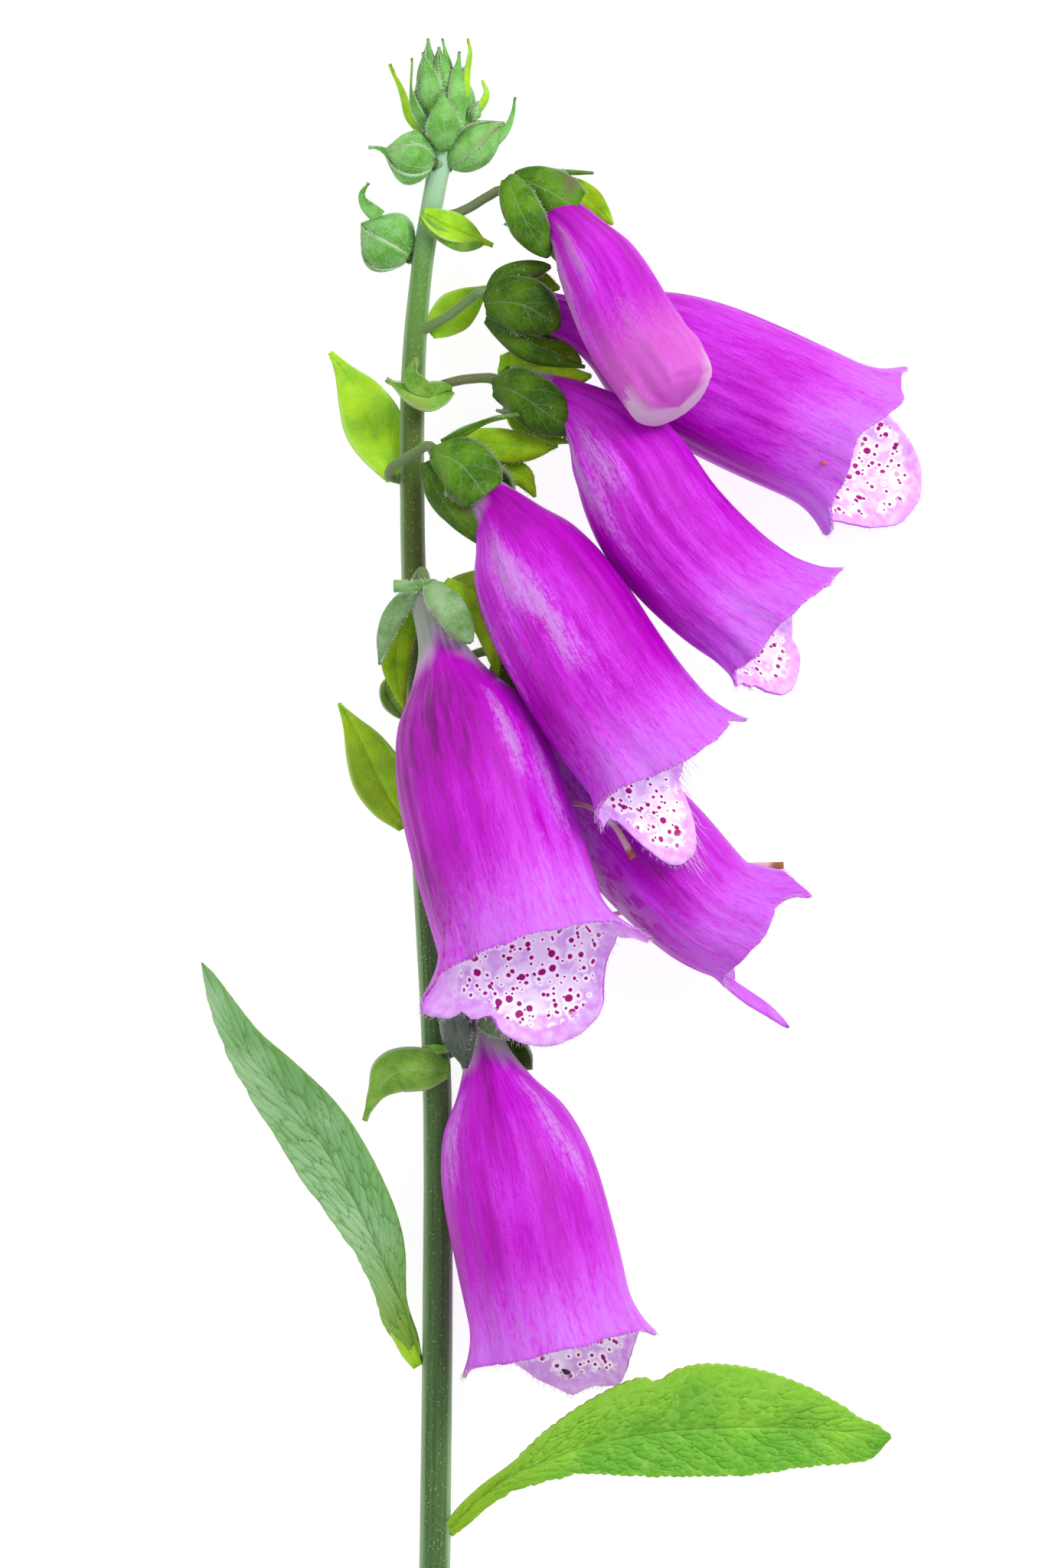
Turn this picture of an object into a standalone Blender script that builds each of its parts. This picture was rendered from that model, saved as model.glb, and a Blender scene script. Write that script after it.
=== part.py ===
"""A cut flower spike of common foxglove (Digitalis purpurea), lying on its side on a table.

The stem runs along +Y towards its tip, +X is the side that the bells hang to, and +Z is up. The tables are
in millimetres, measured from the stem's cut foot with z 0 at the table top; MM turns them into metres.
At the end the whole plant is moved so that the middle of its box's underside is the origin.
"""

import math

import bmesh
import bpy
from mathutils import Vector

MM = 0.001

# Driving dimensions, in millimetres.
GAP = 0.3  # between a piece and the piece that carries it
PETAL = 0.75  # wall of a corolla
BLADE = 0.65  # thickness of a sepal or a bract
LEAF = 0.8  # thickness of a stem leaf
STALK_R = 0.55  # radius of a flower's stalk
FILAMENT_R = 0.36
STYLE_R = 0.36
NECK_R = 2.2  # radius of a corolla's narrow neck
SHOULDER = 11.0  # length over which the neck widens to the belly
RECEPTACLE = 1.2  # height of the cushion that sepals and corolla grow from
SEPAL_LENGTH = 10.5
SEPAL_HALF_WIDTH = 4.1
LAP = 0.66  # each sepal's one edge lies this far outside, and its other edge this far inside
RIM_ZONE = 5.5  # length of the mouth that flares

# How finely each kind of piece is faceted: cells across and cells along.
COROLLA_CELLS = (16, 10)
SEPAL_CELLS = (2, 4)
BRACT_CELLS = (4, 5)
LEAF_CELLS = (6, 20)
STEM_STEPS = 2

STEM = {
    "line": [(0, 0, 1.8), (0.4, 35, 2.2), (0.3, 61, 2.9), (-1.2, 90, 4.2), (-2.3, 119, 5.4),
             (-2.3, 138, 6.2), (-1.3, 150.5, 6.8), (0.2, 159.5, 7.2), (1, 163.9, 7.4)],
    "radii": [1.75, 1.68, 1.6, 1.5, 1.38, 1.36, 1.2, 1.12, 0.9],
}

# Each flower from the lowest up: its centre line from the calyx to the mouth, the turn in degrees of its lip
# side about that line and the roll of its sepals. neck, belly and rim shape the tube; lip, span, side, brow
# and flare shape the mouth's edge. stalk is its stalk's way from inside the stem to just short of the calyx.
FLOWERS = {
    "1": {"line": [(4.3, 69.4, 7.6), (7.3, 57.6, 8.3), (10.6, 44.4, 8.9), (13.8, 30.6, 9.3)], "turn": -5,
          "neck": 7, "belly": 8.8, "rim": 1.04,
          "lip": 6.2, "span": 56, "side": 0.3, "brow": 0.3, "flare": 1.0,
          "calyx": 0.74, "open": 0.3, "shift": 0.8, "roll": 8,
          "stalk": [(0.5, 62.6, 3.2), (2.6, 63.4, 2.9), (5, 66.8, 2.8), (6, 71, 3.6), (5.2, 72, 5.9)]},
    "2": {"line": [(-0.9, 115.4, 14), (2.5, 102.3, 16.2), (6.4, 88.4, 19.1), (10.6, 74.6, 22.4)], "turn": 0,
          "neck": 8, "belly": 9.1, "rim": 1.04,
          "lip": 8.6, "span": 62, "side": 1.6, "brow": 0.3, "flare": 2.6,
          "calyx": 1.0, "open": 1.5, "shift": 1.6, "roll": 8,
          "stalk": [(-2.2, 113.6, 5.4), (-2, 116.8, 9), (-1.6, 118.2, 12)]},
    "3": {"line": [(7.1, 106.9, 6.1), (13.8, 97.4, 7.2), (23.4, 86.7, 8.3), (30.6, 79.1, 8.4),
                   (36.6, 75.8, 8.6)], "turn": 78,
          "neck": 8, "belly": 7.0, "rim": 0.9,
          "lip": 6, "span": 40, "side": -0.9, "brow": 2.4, "flare": 0.8,
          "calyx": 0.82, "open": 0, "roll": 0,
          "stalk": [(-1.7, 101.1, 4.8), (1, 104.6, 4.4), (4, 107.2, 5)]},
    "4": {"line": [(0.3, 129.6, 14), (7.1, 123.2, 15.2), (13.1, 113.3, 18), (19.6, 102.6, 21.8),
                   (25.4, 94.9, 25.6)], "turn": 30,
          "neck": 8, "belly": 8.1, "rim": 1.02,
          "lip": 7.6, "span": 36, "side": 0.3, "brow": 0.3, "flare": 1.2,
          "calyx": 0.97, "open": 0.3, "roll": -80,
          "stalk": [(-2.7, 127.2, 5.8), (-4.8, 127.2, 7.2), (-4.8, 128.6, 10.5), (-3, 131, 13.2)]},
    "5": {"line": [(7.1, 137.8, 9.9), (15.4, 135.1, 12.8), (21, 129.5, 15.2), (25.7, 121.4, 16.2),
                   (32, 114.7, 17.4), (38.8, 110.1, 18.8)], "turn": 34,
          "neck": 9, "belly": 7.1, "rim": 0.98,
          "lip": 4.4, "span": 44, "side": 0.2, "brow": 0.3, "flare": 1.2,
          "calyx": 0.8, "open": 0, "roll": -62,
          "stalk": [(-2, 136.6, 6.2), (1.4, 137.7, 7.5), (4.4, 139.2, 8.7)]},
    "6": {"line": [(6.3, 147.2, 10.8), (17.5, 144, 9.2), (28.6, 139.2, 8.6), (38.4, 134.6, 8.8),
                   (46.8, 130.6, 9.6)], "turn": 14,
          "neck": 10, "belly": 8.3, "rim": 1.0,
          "lip": 8.4, "span": 54, "side": 0.3, "brow": 0.3, "flare": 1.3,
          "calyx": 0.82, "open": 0, "roll": -58,
          "stalk": [(-1.8, 143.4, 6.5), (1.2, 144.8, 8.2), (4.1, 146.9, 10)]},
}
# The flower that is about to open.
CLOSED = {"line": [(8.3, 158.4, 11.2), (14, 155.7, 13.8), (18, 150.4, 17.2), (21.8, 142.9, 21.2),
                   (25.4, 137.3, 24.2), (28, 133.4, 26)], "turn": 10,
          "neck": 7, "belly": 5.4, "rim": 1.0, "calyx": 0.83, "open": 0, "roll": -80,
          "stalk": [(-0.7, 156, 6.9), (2.9, 156.6, 8.8), (6, 158.2, 10.4)]}
# Two flowers that have dropped their corollas. style is the way of the style that is left.
SPENT = {
    "1": {"base": (1.6, 92.2, 4.3), "ahead": (0.96, 0.1, 0.2), "turn": 0,
          "roll": 0, "calyx": 0.66, "open": 0,
          "stalk": [(-1.3, 87.4, 4.1), (-0.4, 90.8, 4.2)],
          "style": [(9.2, 92.2, 7.2), (11.6, 91.2, 10.2), (13.2, 91, 12), (14.6, 90.9, 13.7), (17, 90.6, 16),
                    (19.8, 88.7, 17.3), (22.1, 84.9, 17.1)]},
    "2": {"base": (3.4, 78.4, 4.4), "ahead": (1, 0, -0.08), "turn": 180,
          "roll": 0, "calyx": 0.66, "open": 0,
          "stalk": [(-0.4, 75.6, 3.5), (1.6, 77.6, 3.9)],
          "style": [(13, 77.8, 2.4), (20, 78.4, 0.9), (27.5, 80.6, 0.5), (34, 83.6, 0.5), (39.2, 83.9, 0.9)]},
}

# Leaf-like pieces: line from root to tip, half width, tilt of the face about the line in degrees, and how
# steeply the blade folds up on each side of its rib.
BRACTS = {
    "bract_1": {"line": [(0.8, 59.8, 6.2), (-1.4, 61.4, 8.4), (-5, 61.3, 7.6), (-7.4, 56.6, 5.6)],
                "half": 2.3, "tilt": 0, "fold": -0.35},
    "bract_spent_2": {"line": [(1.6, 72.8, 2.2), (5.4, 72.4, 1.1), (10.2, 72.4, 0.6)],
                      "half": 1.9, "tilt": 0, "fold": 0.2},
    "bract_spent_1": {"line": [(-3.4, 88.4, 4.2), (-5.7, 91.6, 3.4), (-8.4, 97.2, 3.4), (-10.6, 101.9, 4)],
                      "half": 2.8, "tilt": 10, "fold": 0.3},
    "bract_3": {"line": [(-3.5, 99.8, 4.8), (-5.1, 102, 5.4), (-5.7, 104.8, 6)],
                "half": 1.4, "tilt": 20, "fold": 0.5},
    "bract_2": {"line": [(0, 112, 4.6), (3.6, 114, 3.6), (8, 117.6, 4)], "half": 2.6, "tilt": 0, "fold": 0.3},
    "bract_4": {"line": [(-4.6, 127.4, 4.8), (-6.6, 131.2, 4.2), (-9, 136.2, 4.4), (-11.3, 140, 5.4)],
                "half": 2.8, "tilt": 12, "fold": 0.3},
    "bract_5": {"line": [(1, 136.8, 8.6), (-1.2, 136.6, 10.4), (-3.3, 137.7, 11.6), (-5.2, 139.3, 12.4)],
                "half": 2.4, "tilt": 0, "fold": 0.5},
    "bract_6": {"line": [(0.2, 142.8, 5.4), (3, 144.6, 4.8), (6.6, 147.6, 4.4)],
                "half": 2.7, "tilt": 0, "fold": 0.3},
    "bract_7": {"line": [(0.3, 155, 8.4), (2.8, 153.3, 9), (6.2, 152.6, 8.4)],
                "half": 1.9, "tilt": -20, "fold": 0.4},
}
LEAVES = {
    "leaf_left": {"line": [(-2.2, 27.2, 1.8), (-3.7, 35, 2.6), (-7.1, 44.4, 3.4), (-12.3, 53.9, 3.2),
                           (-19.2, 63.8, 1.8), (-26, 72.9, 0)],
                  "outline": [(0, 0.17), (0.15, 0.3), (0.32, 0.78), (0.5, 1), (0.7, 0.76), (0.88, 0.32),
                              (1, 0.05)],
                  "left": 4.8, "right": 5.2, "tilt": -16, "fold": 0.3, "tooth": 0.025},
    "leaf_right": {"line": [(2.6, 10.8, 1.8), (7.1, 15, 3.2), (14, 18.8, 4), (24.2, 21.4, 3.6),
                            (37, 21.5, 1.8), (50.4, 20.3, 0)],
                   "outline": [(0, 0.16), (0.16, 0.24), (0.34, 0.72), (0.52, 1), (0.72, 0.94), (0.9, 0.56),
                               (1, 0.12)],
                   "left": 7.4, "right": 5.4, "tilt": 14, "fold": 0.35, "tooth": 0.04},
}
# Green buds: root, tip and greatest radius, the stem point that each stands on, and the drawn-out sepal tip.
BUDS = {
    "bud_1": {"root": (-2.8, 151.4, 5.7), "tip": (-8.2, 155.7, 3.6), "radius": 3.2,
              "from": (-1.3, 150.2, 6.8),
              "hook": [(-6.2, 155, 5.6), (-8, 157.6, 6.4), (-7.4, 159.7, 6.6)], "half": 1.3},
    "bud_2": {"root": (-1.3, 162, 9), "tip": (-6.3, 163.4, 9.6), "radius": 2.6,
              "from": (0.6, 161.4, 7.3),
              "hook": [(-4.9, 163.2, 9.6), (-6.4, 163.7, 9.8), (-7.5, 163.9, 9.6)], "half": 0.6},
    "bud_3": {"root": (2.3, 162.7, 6.4), "tip": (7.9, 167, 6.4), "radius": 2.5,
              "from": (0.6, 161.6, 7.2),
              "hook": [(6.4, 165.6, 6.6), (8.2, 167.2, 6.8), (9.2, 169.6, 6.8)], "half": 0.9},
}
# The growing tip: small buds and bracts that all stand on one short axis.
CROWN_AXIS = [(1, 164.3, 7.5), (0.8, 171, 8)]
CROWN_BUDS = [
    ((0.6, 167.5, 7.8), (0.8, 175.2, 8.2), 2.0),
    ((0.15, 165.9, 8.5), (-1.4, 174, 9.2), 1.75),
    ((1.85, 166.3, 8.4), (3.1, 174, 9), 1.5),
    ((1.5, 165.5, 7.5), (5.6, 170.6, 7), 1.2),
    ((0.3, 165.4, 6.9), (-2.4, 172.6, 4.8), 1.5),
    ((1.3, 166.1, 6.8), (3.2, 172, 4.6), 1.5),
]
CROWN_BRACTS = [
    ([(0.5, 165.1, 7.3), (-3.1, 168.4, 7.4), (-5, 173.2, 7.6)], 1.1),
    ([(0.7, 165.3, 8.5), (-2.8, 168.4, 9.5), (-2.6, 173.8, 9)], 1.0),
    ([(1.05, 164.8, 8.4), (0.9, 166.8, 11), (1.1, 170.4, 11.6)], 1.9),
    ([(0.5, 169.1, 7.5), (-0.5, 172.6, 7.4), (-0.8, 176.2, 7.4)], 0.9),
    ([(1, 168.8, 7.9), (1.6, 172.6, 7.8), (1.1, 176.2, 7.8)], 0.85),
    ([(1.3, 166.2, 7.9), (3.8, 170.8, 8.2), (4, 176, 8.6)], 0.9),
    ([(0.9, 165.2, 6.9), (0.6, 167.4, 4.2), (0.2, 171.6, 3.8)], 1.8),
]

PALETTE = {
    "stem green": ((0.10, 0.22, 0.05), 0.6),
    "sepal green": ((0.11, 0.26, 0.03), 0.55),
    "bract green": ((0.27, 0.48, 0.03), 0.55),
    "leaf green": ((0.16, 0.38, 0.06), 0.6),
    "corolla purple": ((0.50, 0.02, 0.48), 0.5),
    "stamen cream": ((0.80, 0.62, 0.42), 0.5),
}


# ---- Curves and centre lines ----------------------------------------------------------------------------

def hermite(stations, x):
    """The value at x of a smooth curve through (position, value) stations, flat beyond the first and last."""
    if x <= stations[0][0]:
        return stations[0][1]
    if x >= stations[-1][0]:
        return stations[-1][1]
    i = max(k for k in range(len(stations) - 1) if stations[k][0] <= x)

    def slope(k):
        low, high = stations[max(k - 1, 0)], stations[min(k + 1, len(stations) - 1)]
        return (high[1] - low[1]) / (high[0] - low[0])

    (x0, y0), (x1, y1) = stations[i], stations[i + 1]
    width = x1 - x0
    t = (x - x0) / width
    return ((2 * t**3 - 3 * t**2 + 1) * y0 + (t**3 - 2 * t**2 + t) * width * slope(i)
            + (3 * t**2 - 2 * t**3) * y1 + (t**3 - t**2) * width * slope(i + 1))


def through(points, steps=8):
    """Points on a smooth curve through the given ones."""
    axes = [[(k, p[axis]) for k, p in enumerate(points)] for axis in range(3)]
    count = (len(points) - 1) * steps
    return [Vector([hermite(axis, k / steps) for axis in axes]) for k in range(count + 1)]


class Line:
    """A centre line. at(s) gives the point s millimetres along it, with the ways ahead, up and sideways."""

    def __init__(self, points, turn=0.0, up=(0, 0, 1)):
        self.points = [Vector(p) for p in points]
        self.reach = [0.0]
        for a, b in zip(self.points, self.points[1:]):
            self.reach.append(self.reach[-1] + (b - a).length)
        self.length = self.reach[-1]
        self.turn = math.radians(turn)
        self.up = Vector(up)

    def at(self, s):
        last = len(self.points) - 2
        i = max([k for k in range(last + 1) if self.reach[k] <= s], default=0)
        step = self.points[i + 1] - self.points[i]
        share = (s - self.reach[i]) / step.length
        before = self.points[i + 1] - self.points[max(i - 1, 0)]
        after = self.points[min(i + 2, last + 1)] - self.points[i]
        inside = min(max(share, 0.0), 1.0)
        ahead = (before.normalized() * (1 - inside) + after.normalized() * inside).normalized()
        if share < 0 or share > 1:
            ahead = step.normalized()
        up = (self.up - ahead * self.up.dot(ahead)).normalized()
        side = ahead.cross(up)
        turned = up * math.cos(self.turn) + side * math.sin(self.turn)
        return self.points[i] + step * share, ahead, turned, ahead.cross(turned)

    def out(self, s, angle, radius):
        """The point at that radius from the line, angle radians round from its upper side."""
        centre, _, up, side = self.at(s)
        return centre + (up * math.cos(angle) + side * math.sin(angle)) * radius


def on_table(point, low=0.0):
    """Soft pieces flatten where they lie on the table."""
    return Vector((point.x, point.y, max(point.z, low)))


# ---- Meshes ---------------------------------------------------------------------------------------------

def painted(name):
    material = bpy.data.materials.get(name)
    if material is None:
        colour, roughness = PALETTE[name]
        material = bpy.data.materials.new(name)
        material.use_nodes = True
        shader = material.node_tree.nodes["Principled BSDF"]
        shader.inputs["Base Color"].default_value = (*colour, 1)
        shader.inputs["Roughness"].default_value = roughness
        shader.inputs["Metallic"].default_value = 0.0
    return material


def add(name, mesh, paint, home):
    """An object of the plant, its mesh in plan millimetres, with its origin at home."""
    home = Vector(home)
    for vertex in mesh.vertices:
        vertex.co = (vertex.co - home) * MM
    mesh.materials.clear()
    mesh.materials.append(painted(paint))
    mesh.shade_smooth()
    made = bpy.data.objects.new(name, mesh)
    plant.objects.link(made)
    made.parent = root
    made.location = home * MM
    return made


def sheet(name, cells, place, wrap=False):
    """A grid bent to shape: place(u, t) takes u from -1 to 1 across and t from 0 to 1 along."""
    bm = bmesh.new()
    bmesh.ops.create_grid(bm, x_segments=cells[0], y_segments=cells[1], size=1)
    for vertex in bm.verts:
        vertex.co = place(vertex.co.x, (vertex.co.y + 1) / 2)
    if wrap:
        bmesh.ops.remove_doubles(bm, verts=bm.verts, dist=1e-5)
    bmesh.ops.triangulate(bm, faces=bm.faces)
    mesh = bpy.data.meshes.new(name)
    bm.to_mesh(mesh)
    bm.free()
    return mesh


def thicken(piece, thickness, offset):
    wall = piece.modifiers.new("wall", "SOLIDIFY")
    wall.thickness = thickness * MM
    wall.offset = offset
    return piece


def tube(name, points, radii, sides, paint, home):
    """A round tube along the points, as a mesh with welded caps."""
    curve = bpy.data.curves.new(name, "CURVE")
    curve.dimensions = "3D"
    curve.bevel_depth = MM
    curve.bevel_resolution = sides // 2 - 2
    curve.use_fill_caps = True
    spline = curve.splines.new("POLY")
    spline.points.add(len(points) - 1)
    for point, place, radius in zip(spline.points, points, radii):
        point.co = (*(Vector(place) * MM), 1)
        point.radius = radius
    guide = bpy.data.objects.new(name + "_curve", curve)
    bpy.context.scene.collection.objects.link(guide)
    bpy.context.view_layer.update()
    mesh = bpy.data.meshes.new_from_object(guide.evaluated_get(bpy.context.evaluated_depsgraph_get()))
    bpy.data.objects.remove(guide)
    bpy.data.curves.remove(curve)
    bm = bmesh.new()
    bm.from_mesh(mesh)
    bmesh.ops.remove_doubles(bm, verts=bm.verts, dist=1e-7)
    bmesh.ops.scale(bm, vec=(1 / MM,) * 3, verts=bm.verts)
    bmesh.ops.recalc_face_normals(bm, faces=bm.faces)
    bm.to_mesh(mesh)
    bm.free()
    return add(name, mesh, paint, home)


def lathe(name, line, start, profile, sides, paint, home, place=None):
    """A solid turned about a line: profile holds (distance past start, radius) from end to end."""
    bm = bmesh.new()
    bmesh.ops.create_uvsphere(bm, u_segments=sides, v_segments=len(profile) - 1, radius=1)
    for vertex in bm.verts:
        level = round((1 - math.acos(max(-1.0, min(1.0, vertex.co.z))) / math.pi) * (len(profile) - 1))
        s, radius = profile[level]
        angle = math.atan2(vertex.co.y, vertex.co.x)
        if place:
            radius *= place(s, angle)
        vertex.co = on_table(line.out(start + s, angle, radius))
    bmesh.ops.triangulate(bm, faces=bm.faces)
    bmesh.ops.recalc_face_normals(bm, faces=bm.faces)
    mesh = bpy.data.meshes.new(name)
    bm.to_mesh(mesh)
    bm.free()
    return add(name, mesh, paint, home)


def largest_body(mesh):
    """Drops the slivers and sealed pockets that a union can leave, so that one skin is left."""
    bm = bmesh.new()
    bm.from_mesh(mesh)
    left, bodies = set(bm.faces), []
    while left:
        body = [left.pop()]
        for face in body:
            near = {other for edge in face.edges for other in edge.link_faces} & left
            left -= near
            body += near
        bodies.append(body)
    bodies.sort(key=len)
    bmesh.ops.delete(bm, geom=[face for body in bodies[:-1] for face in body], context="FACES")
    bm.to_mesh(mesh)
    bm.free()


def fuse(main, others):
    """main becomes one body with the others, which are then removed."""
    joined = bpy.data.collections.new("joined")
    bpy.context.scene.collection.children.link(joined)
    for piece in others:
        plant.objects.unlink(piece)
        joined.objects.link(piece)
    union = main.modifiers.new("union", "BOOLEAN")
    union.operation = "UNION"
    union.operand_type = "COLLECTION"
    union.collection = joined
    union.solver = "EXACT"
    bpy.context.view_layer.update()
    mesh = bpy.data.meshes.new_from_object(main.evaluated_get(bpy.context.evaluated_depsgraph_get()))
    mesh.name = main.name
    largest_body(mesh)
    main.modifiers.clear()
    main.data = mesh
    for piece in others:
        bpy.data.objects.remove(piece)
    bpy.data.collections.remove(joined)
    return main


# ---- Corollas -------------------------------------------------------------------------------------------

def bump(degrees, middle, half):
    """1 at the middle, falling smoothly to 0 half degrees from it."""
    off = abs(degrees - middle) / half
    return math.cos(math.pi * off / 2) ** 2 if off < 1 else 0.0


def edge_reach(flower, degrees):
    """How far the mouth's edge stands past the tube, by degrees from the top of the bell."""
    off = min(1.0, (180 - degrees) / flower["span"])
    lip = flower["lip"] * (1 - off**2) ** 0.8
    return lip + flower["side"] * bump(degrees, 86, 44) + flower["brow"] * bump(degrees, 24, 40)


def edge_flare(flower, degrees):
    """How far the mouth's edge turns outwards there."""
    sides = flower["flare"] * bump(degrees, 88, 50)
    return 0.5 + sides + flower["brow"] * bump(degrees, 0, 60) + 0.9 * bump(degrees, 180, 60)


def tube_radius(flower, length, s):
    neck, belly = flower["neck"], flower["belly"]
    swell = belly - NECK_R
    stations = [(0, NECK_R), (neck - 1, NECK_R * 1.1), (neck + 0.3 * SHOULDER, NECK_R + 0.3 * swell),
                (neck + 0.65 * SHOULDER, NECK_R + 0.67 * swell),
                (neck + 1.15 * SHOULDER, NECK_R + 0.9 * swell),
                (neck + 1.9 * SHOULDER, belly), (length, flower["rim"] * belly)]
    return hermite(stations, s)


def corolla_point(flower, line, u, t):
    """A point of a bell's outer face: u runs round from the top, t from the calyx to the edge."""
    degrees = abs(u) * 180
    start = RECEPTACLE + GAP
    end = line.length + edge_reach(flower, degrees)
    s = start + (end - start) * t
    radius = tube_radius(flower, line.length, min(s, line.length))
    low = (1 - math.cos(math.pi * u)) / 2
    radius *= 1 + 0.05 * low * math.sin(math.pi * min(s / line.length, 1.0)) ** 2
    near = max(0.0, 1 - (end - s) / RIM_ZONE)
    radius += edge_flare(flower, degrees) * near**2
    return on_table(line.out(s, math.pi * u, radius))


def corolla(name, flower, line):
    mesh = sheet(name, COROLLA_CELLS, lambda u, t: corolla_point(flower, line, u, t), wrap=True)
    return thicken(add(name, mesh, "corolla purple", line.points[0]), PETAL, -1)


def closed_corolla(name, flower, line):
    """The corolla that is about to open, with its lobes still folded over its end."""
    start = RECEPTACLE + GAP
    length = line.length - start
    closing = [(0.72, 1), (0.84, 0.92), (0.93, 0.72), (0.98, 0.42), (1, 0)]
    profile = [(0, 0)] + [(length * k, tube_radius(flower, line.length, start + length * k))
                          for k in (0.004, 0.15, 0.27, 0.37, 0.47, 0.6, 0.72)]
    profile += [(length * k, flower["belly"] * share) for k, share in closing[1:]]
    return lathe(name, line, start, profile, 14, "corolla purple", line.points[0],
                 lambda s, angle: 1 + 0.05 * math.cos(2 * angle) * (s > 0.7 * length))


def stamens(name, flower, line):
    """Ovary and style with four stamens, which run up under the top of the bell to their anthers."""
    start = RECEPTACLE + GAP
    belly, length, home = flower["belly"], line.length, line.points[0]
    main = lathe(name, line, start, [(0, 0), (0.1, 1.1), (3, 0.85), (5.4, 0)], 6, "stamen cream", home)
    others = []

    def filament(label, angle, reach):
        stations = [(0.8, 0.4), (0.34 * reach, 0.9), (0.72 * reach, belly - 3.4), (reach, belly - 2.6)]
        spread = math.radians(angle)
        points = [line.out(start + s, spread * min(1.0, 12 / (s + 6)), out) for s, out in stations]
        others.append(tube(label, points, [FILAMENT_R] * 4, 4, "stamen cream", home))
        return points[-1]

    for angle, share in ((-38, 0.62), (38, 0.62), (-62, 0.74), (62, 0.74)):
        end = filament(f"{name}_filament", angle, share * length - start)
        anther = Line([end - Vector((0, 1.6, 0)), end + Vector((0, 1.6, 0))])
        pod = [(0, 0), (1.6, 0.95), (3.2, 0)]
        others.append(lathe(f"{name}_anther", anther, 0, pod, 5, "stamen cream", home))
    filament(f"{name}_style", 0, 0.86 * length - start)
    return fuse(main, others)


def pistil(name, flower, line):
    """The ovary and style that a dropped corolla leaves."""
    start, home = RECEPTACLE + GAP, line.points[0]
    ovary = [(0, 0), (0.1, 1.3), (2.4, 1.2), (4.4, 0.6), (5.4, 0)]
    main = lathe(name, line, start, ovary, 8, "stamen cream", home)
    way = through([tuple(line.at(start + 3)[0]), tuple(line.at(start + 5)[0])] + flower["style"], STEM_STEPS)
    return fuse(main, [tube(f"{name}_style", way, [STYLE_R] * len(way), 6, "stamen cream", home)])


# ---- Calyces --------------------------------------------------------------------------------------------

# Angle from the top in degrees, and the shares of full width and length, of the five sepals.
SEPALS = [(0, 0.42, 0.9), (68, 1.0, 1.0), (142, 1.0, 1.1), (218, 1.0, 1.1), (292, 1.0, 0.95)]
SEPAL_OUTLINE = [(0, 0.55), (0.2, 0.84), (0.42, 1.0), (0.64, 0.9), (0.84, 0.54), (1, 0.06)]
CUP = [(0, 2.6), (1.2, 3.3), (4, 3.8), (7, 3.8), (10, 3.5), (12, 3.3)]


def calyx_radius(flower, line, s):
    """Inner radius of the cup that the sepals make, clear of the corolla where there is one."""
    radius = hermite(CUP, s) * flower["calyx"] + flower["open"] * (s / 10) ** 2
    if "belly" in flower:
        radius = max(radius, tube_radius(flower, line.length, s) + GAP + LAP + 0.1)
    return radius


def sepal_point(flower, line, sepal, u, t):
    angle, width, length = sepal
    s = 0.8 + SEPAL_LENGTH * length * flower["calyx"] * t
    radius = calyx_radius(flower, line, s)
    radius += flower.get("shift", 0) * max(0.0, math.sin(math.radians(angle + flower["roll"]))) * s / 10
    half = SEPAL_HALF_WIDTH * width * flower["calyx"] * hermite(SEPAL_OUTLINE, t)
    lap = LAP * u * min(1.0, 0.5 + 2 * t)
    spot = line.out(s, math.radians(angle + flower["roll"]) + u * half / radius, radius + lap)
    return on_table(spot, BLADE)


def calyx(name, flower, line):
    home = line.points[0]
    cushion = [(0, 0), (0.05, STALK_R + 0.25), (0.5, 2.6), (RECEPTACLE - 0.1, 3.2), (RECEPTACLE, 0)]
    main = lathe(name, line, 0, cushion, 10, "sepal green", home)
    others = []
    for sepal in SEPALS:
        mesh = sheet(name, SEPAL_CELLS, lambda u, t, sepal=sepal: sepal_point(flower, line, sepal, u, t))
        others.append(thicken(add(f"{name}_sepal", mesh, "sepal green", home), BLADE, 1))
    return fuse(main, others)


# ---- Leaves, bracts and buds ----------------------------------------------------------------------------

BRACT_OUTLINE = [(0, 0.35), (0.2, 0.8), (0.42, 1.0), (0.65, 0.75), (0.85, 0.3), (1, 0.1)]


def blade_point(line, outline, left, right, fold, u, t, tooth=0.0):
    """A point of a blade's lower face: it folds up beside its rib, arches at its edges and ends flat."""
    centre, _, up, side = line.at(t * line.length)
    half = (right if u > 0 else left) * hermite(outline, t) * (1 + tooth)
    lift = half * (fold * abs(u) - 0.12 * u * u) * (1 - t**4)
    return on_table(centre + side * half * u + up * lift)


def bract(name, points, half, tilt, fold, home, cells=BRACT_CELLS, up=(0, 0, 1)):
    line = Line(through(points), tilt, up)
    mesh = sheet(name, cells, lambda u, t: blade_point(line, BRACT_OUTLINE, half, half, fold, u, t))
    return thicken(add(name, mesh, "bract green", home), BLADE, 1)


def leaf(name, shape):
    """A stem leaf with a scalloped edge and the quilting between its side veins."""
    line = Line(through(shape["line"]), shape["tilt"])

    def place(u, t):
        row = round(t * LEAF_CELLS[1])
        tooth = shape["tooth"] * (-1) ** row * (abs(u) == 1) * (0.2 < t < 0.97)
        point = blade_point(line, shape["outline"], shape["left"], shape["right"], shape["fold"], u, t, tooth)
        quilt = 0.2 * (-1) ** row * (0 < abs(u) < 1) * (0.2 < t < 0.9)
        return on_table(point + line.at(t * line.length)[2] * quilt)

    mesh = sheet(name, LEAF_CELLS, place)
    return thicken(add(name, mesh, "leaf green", shape["line"][0]), LEAF, 1)


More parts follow.
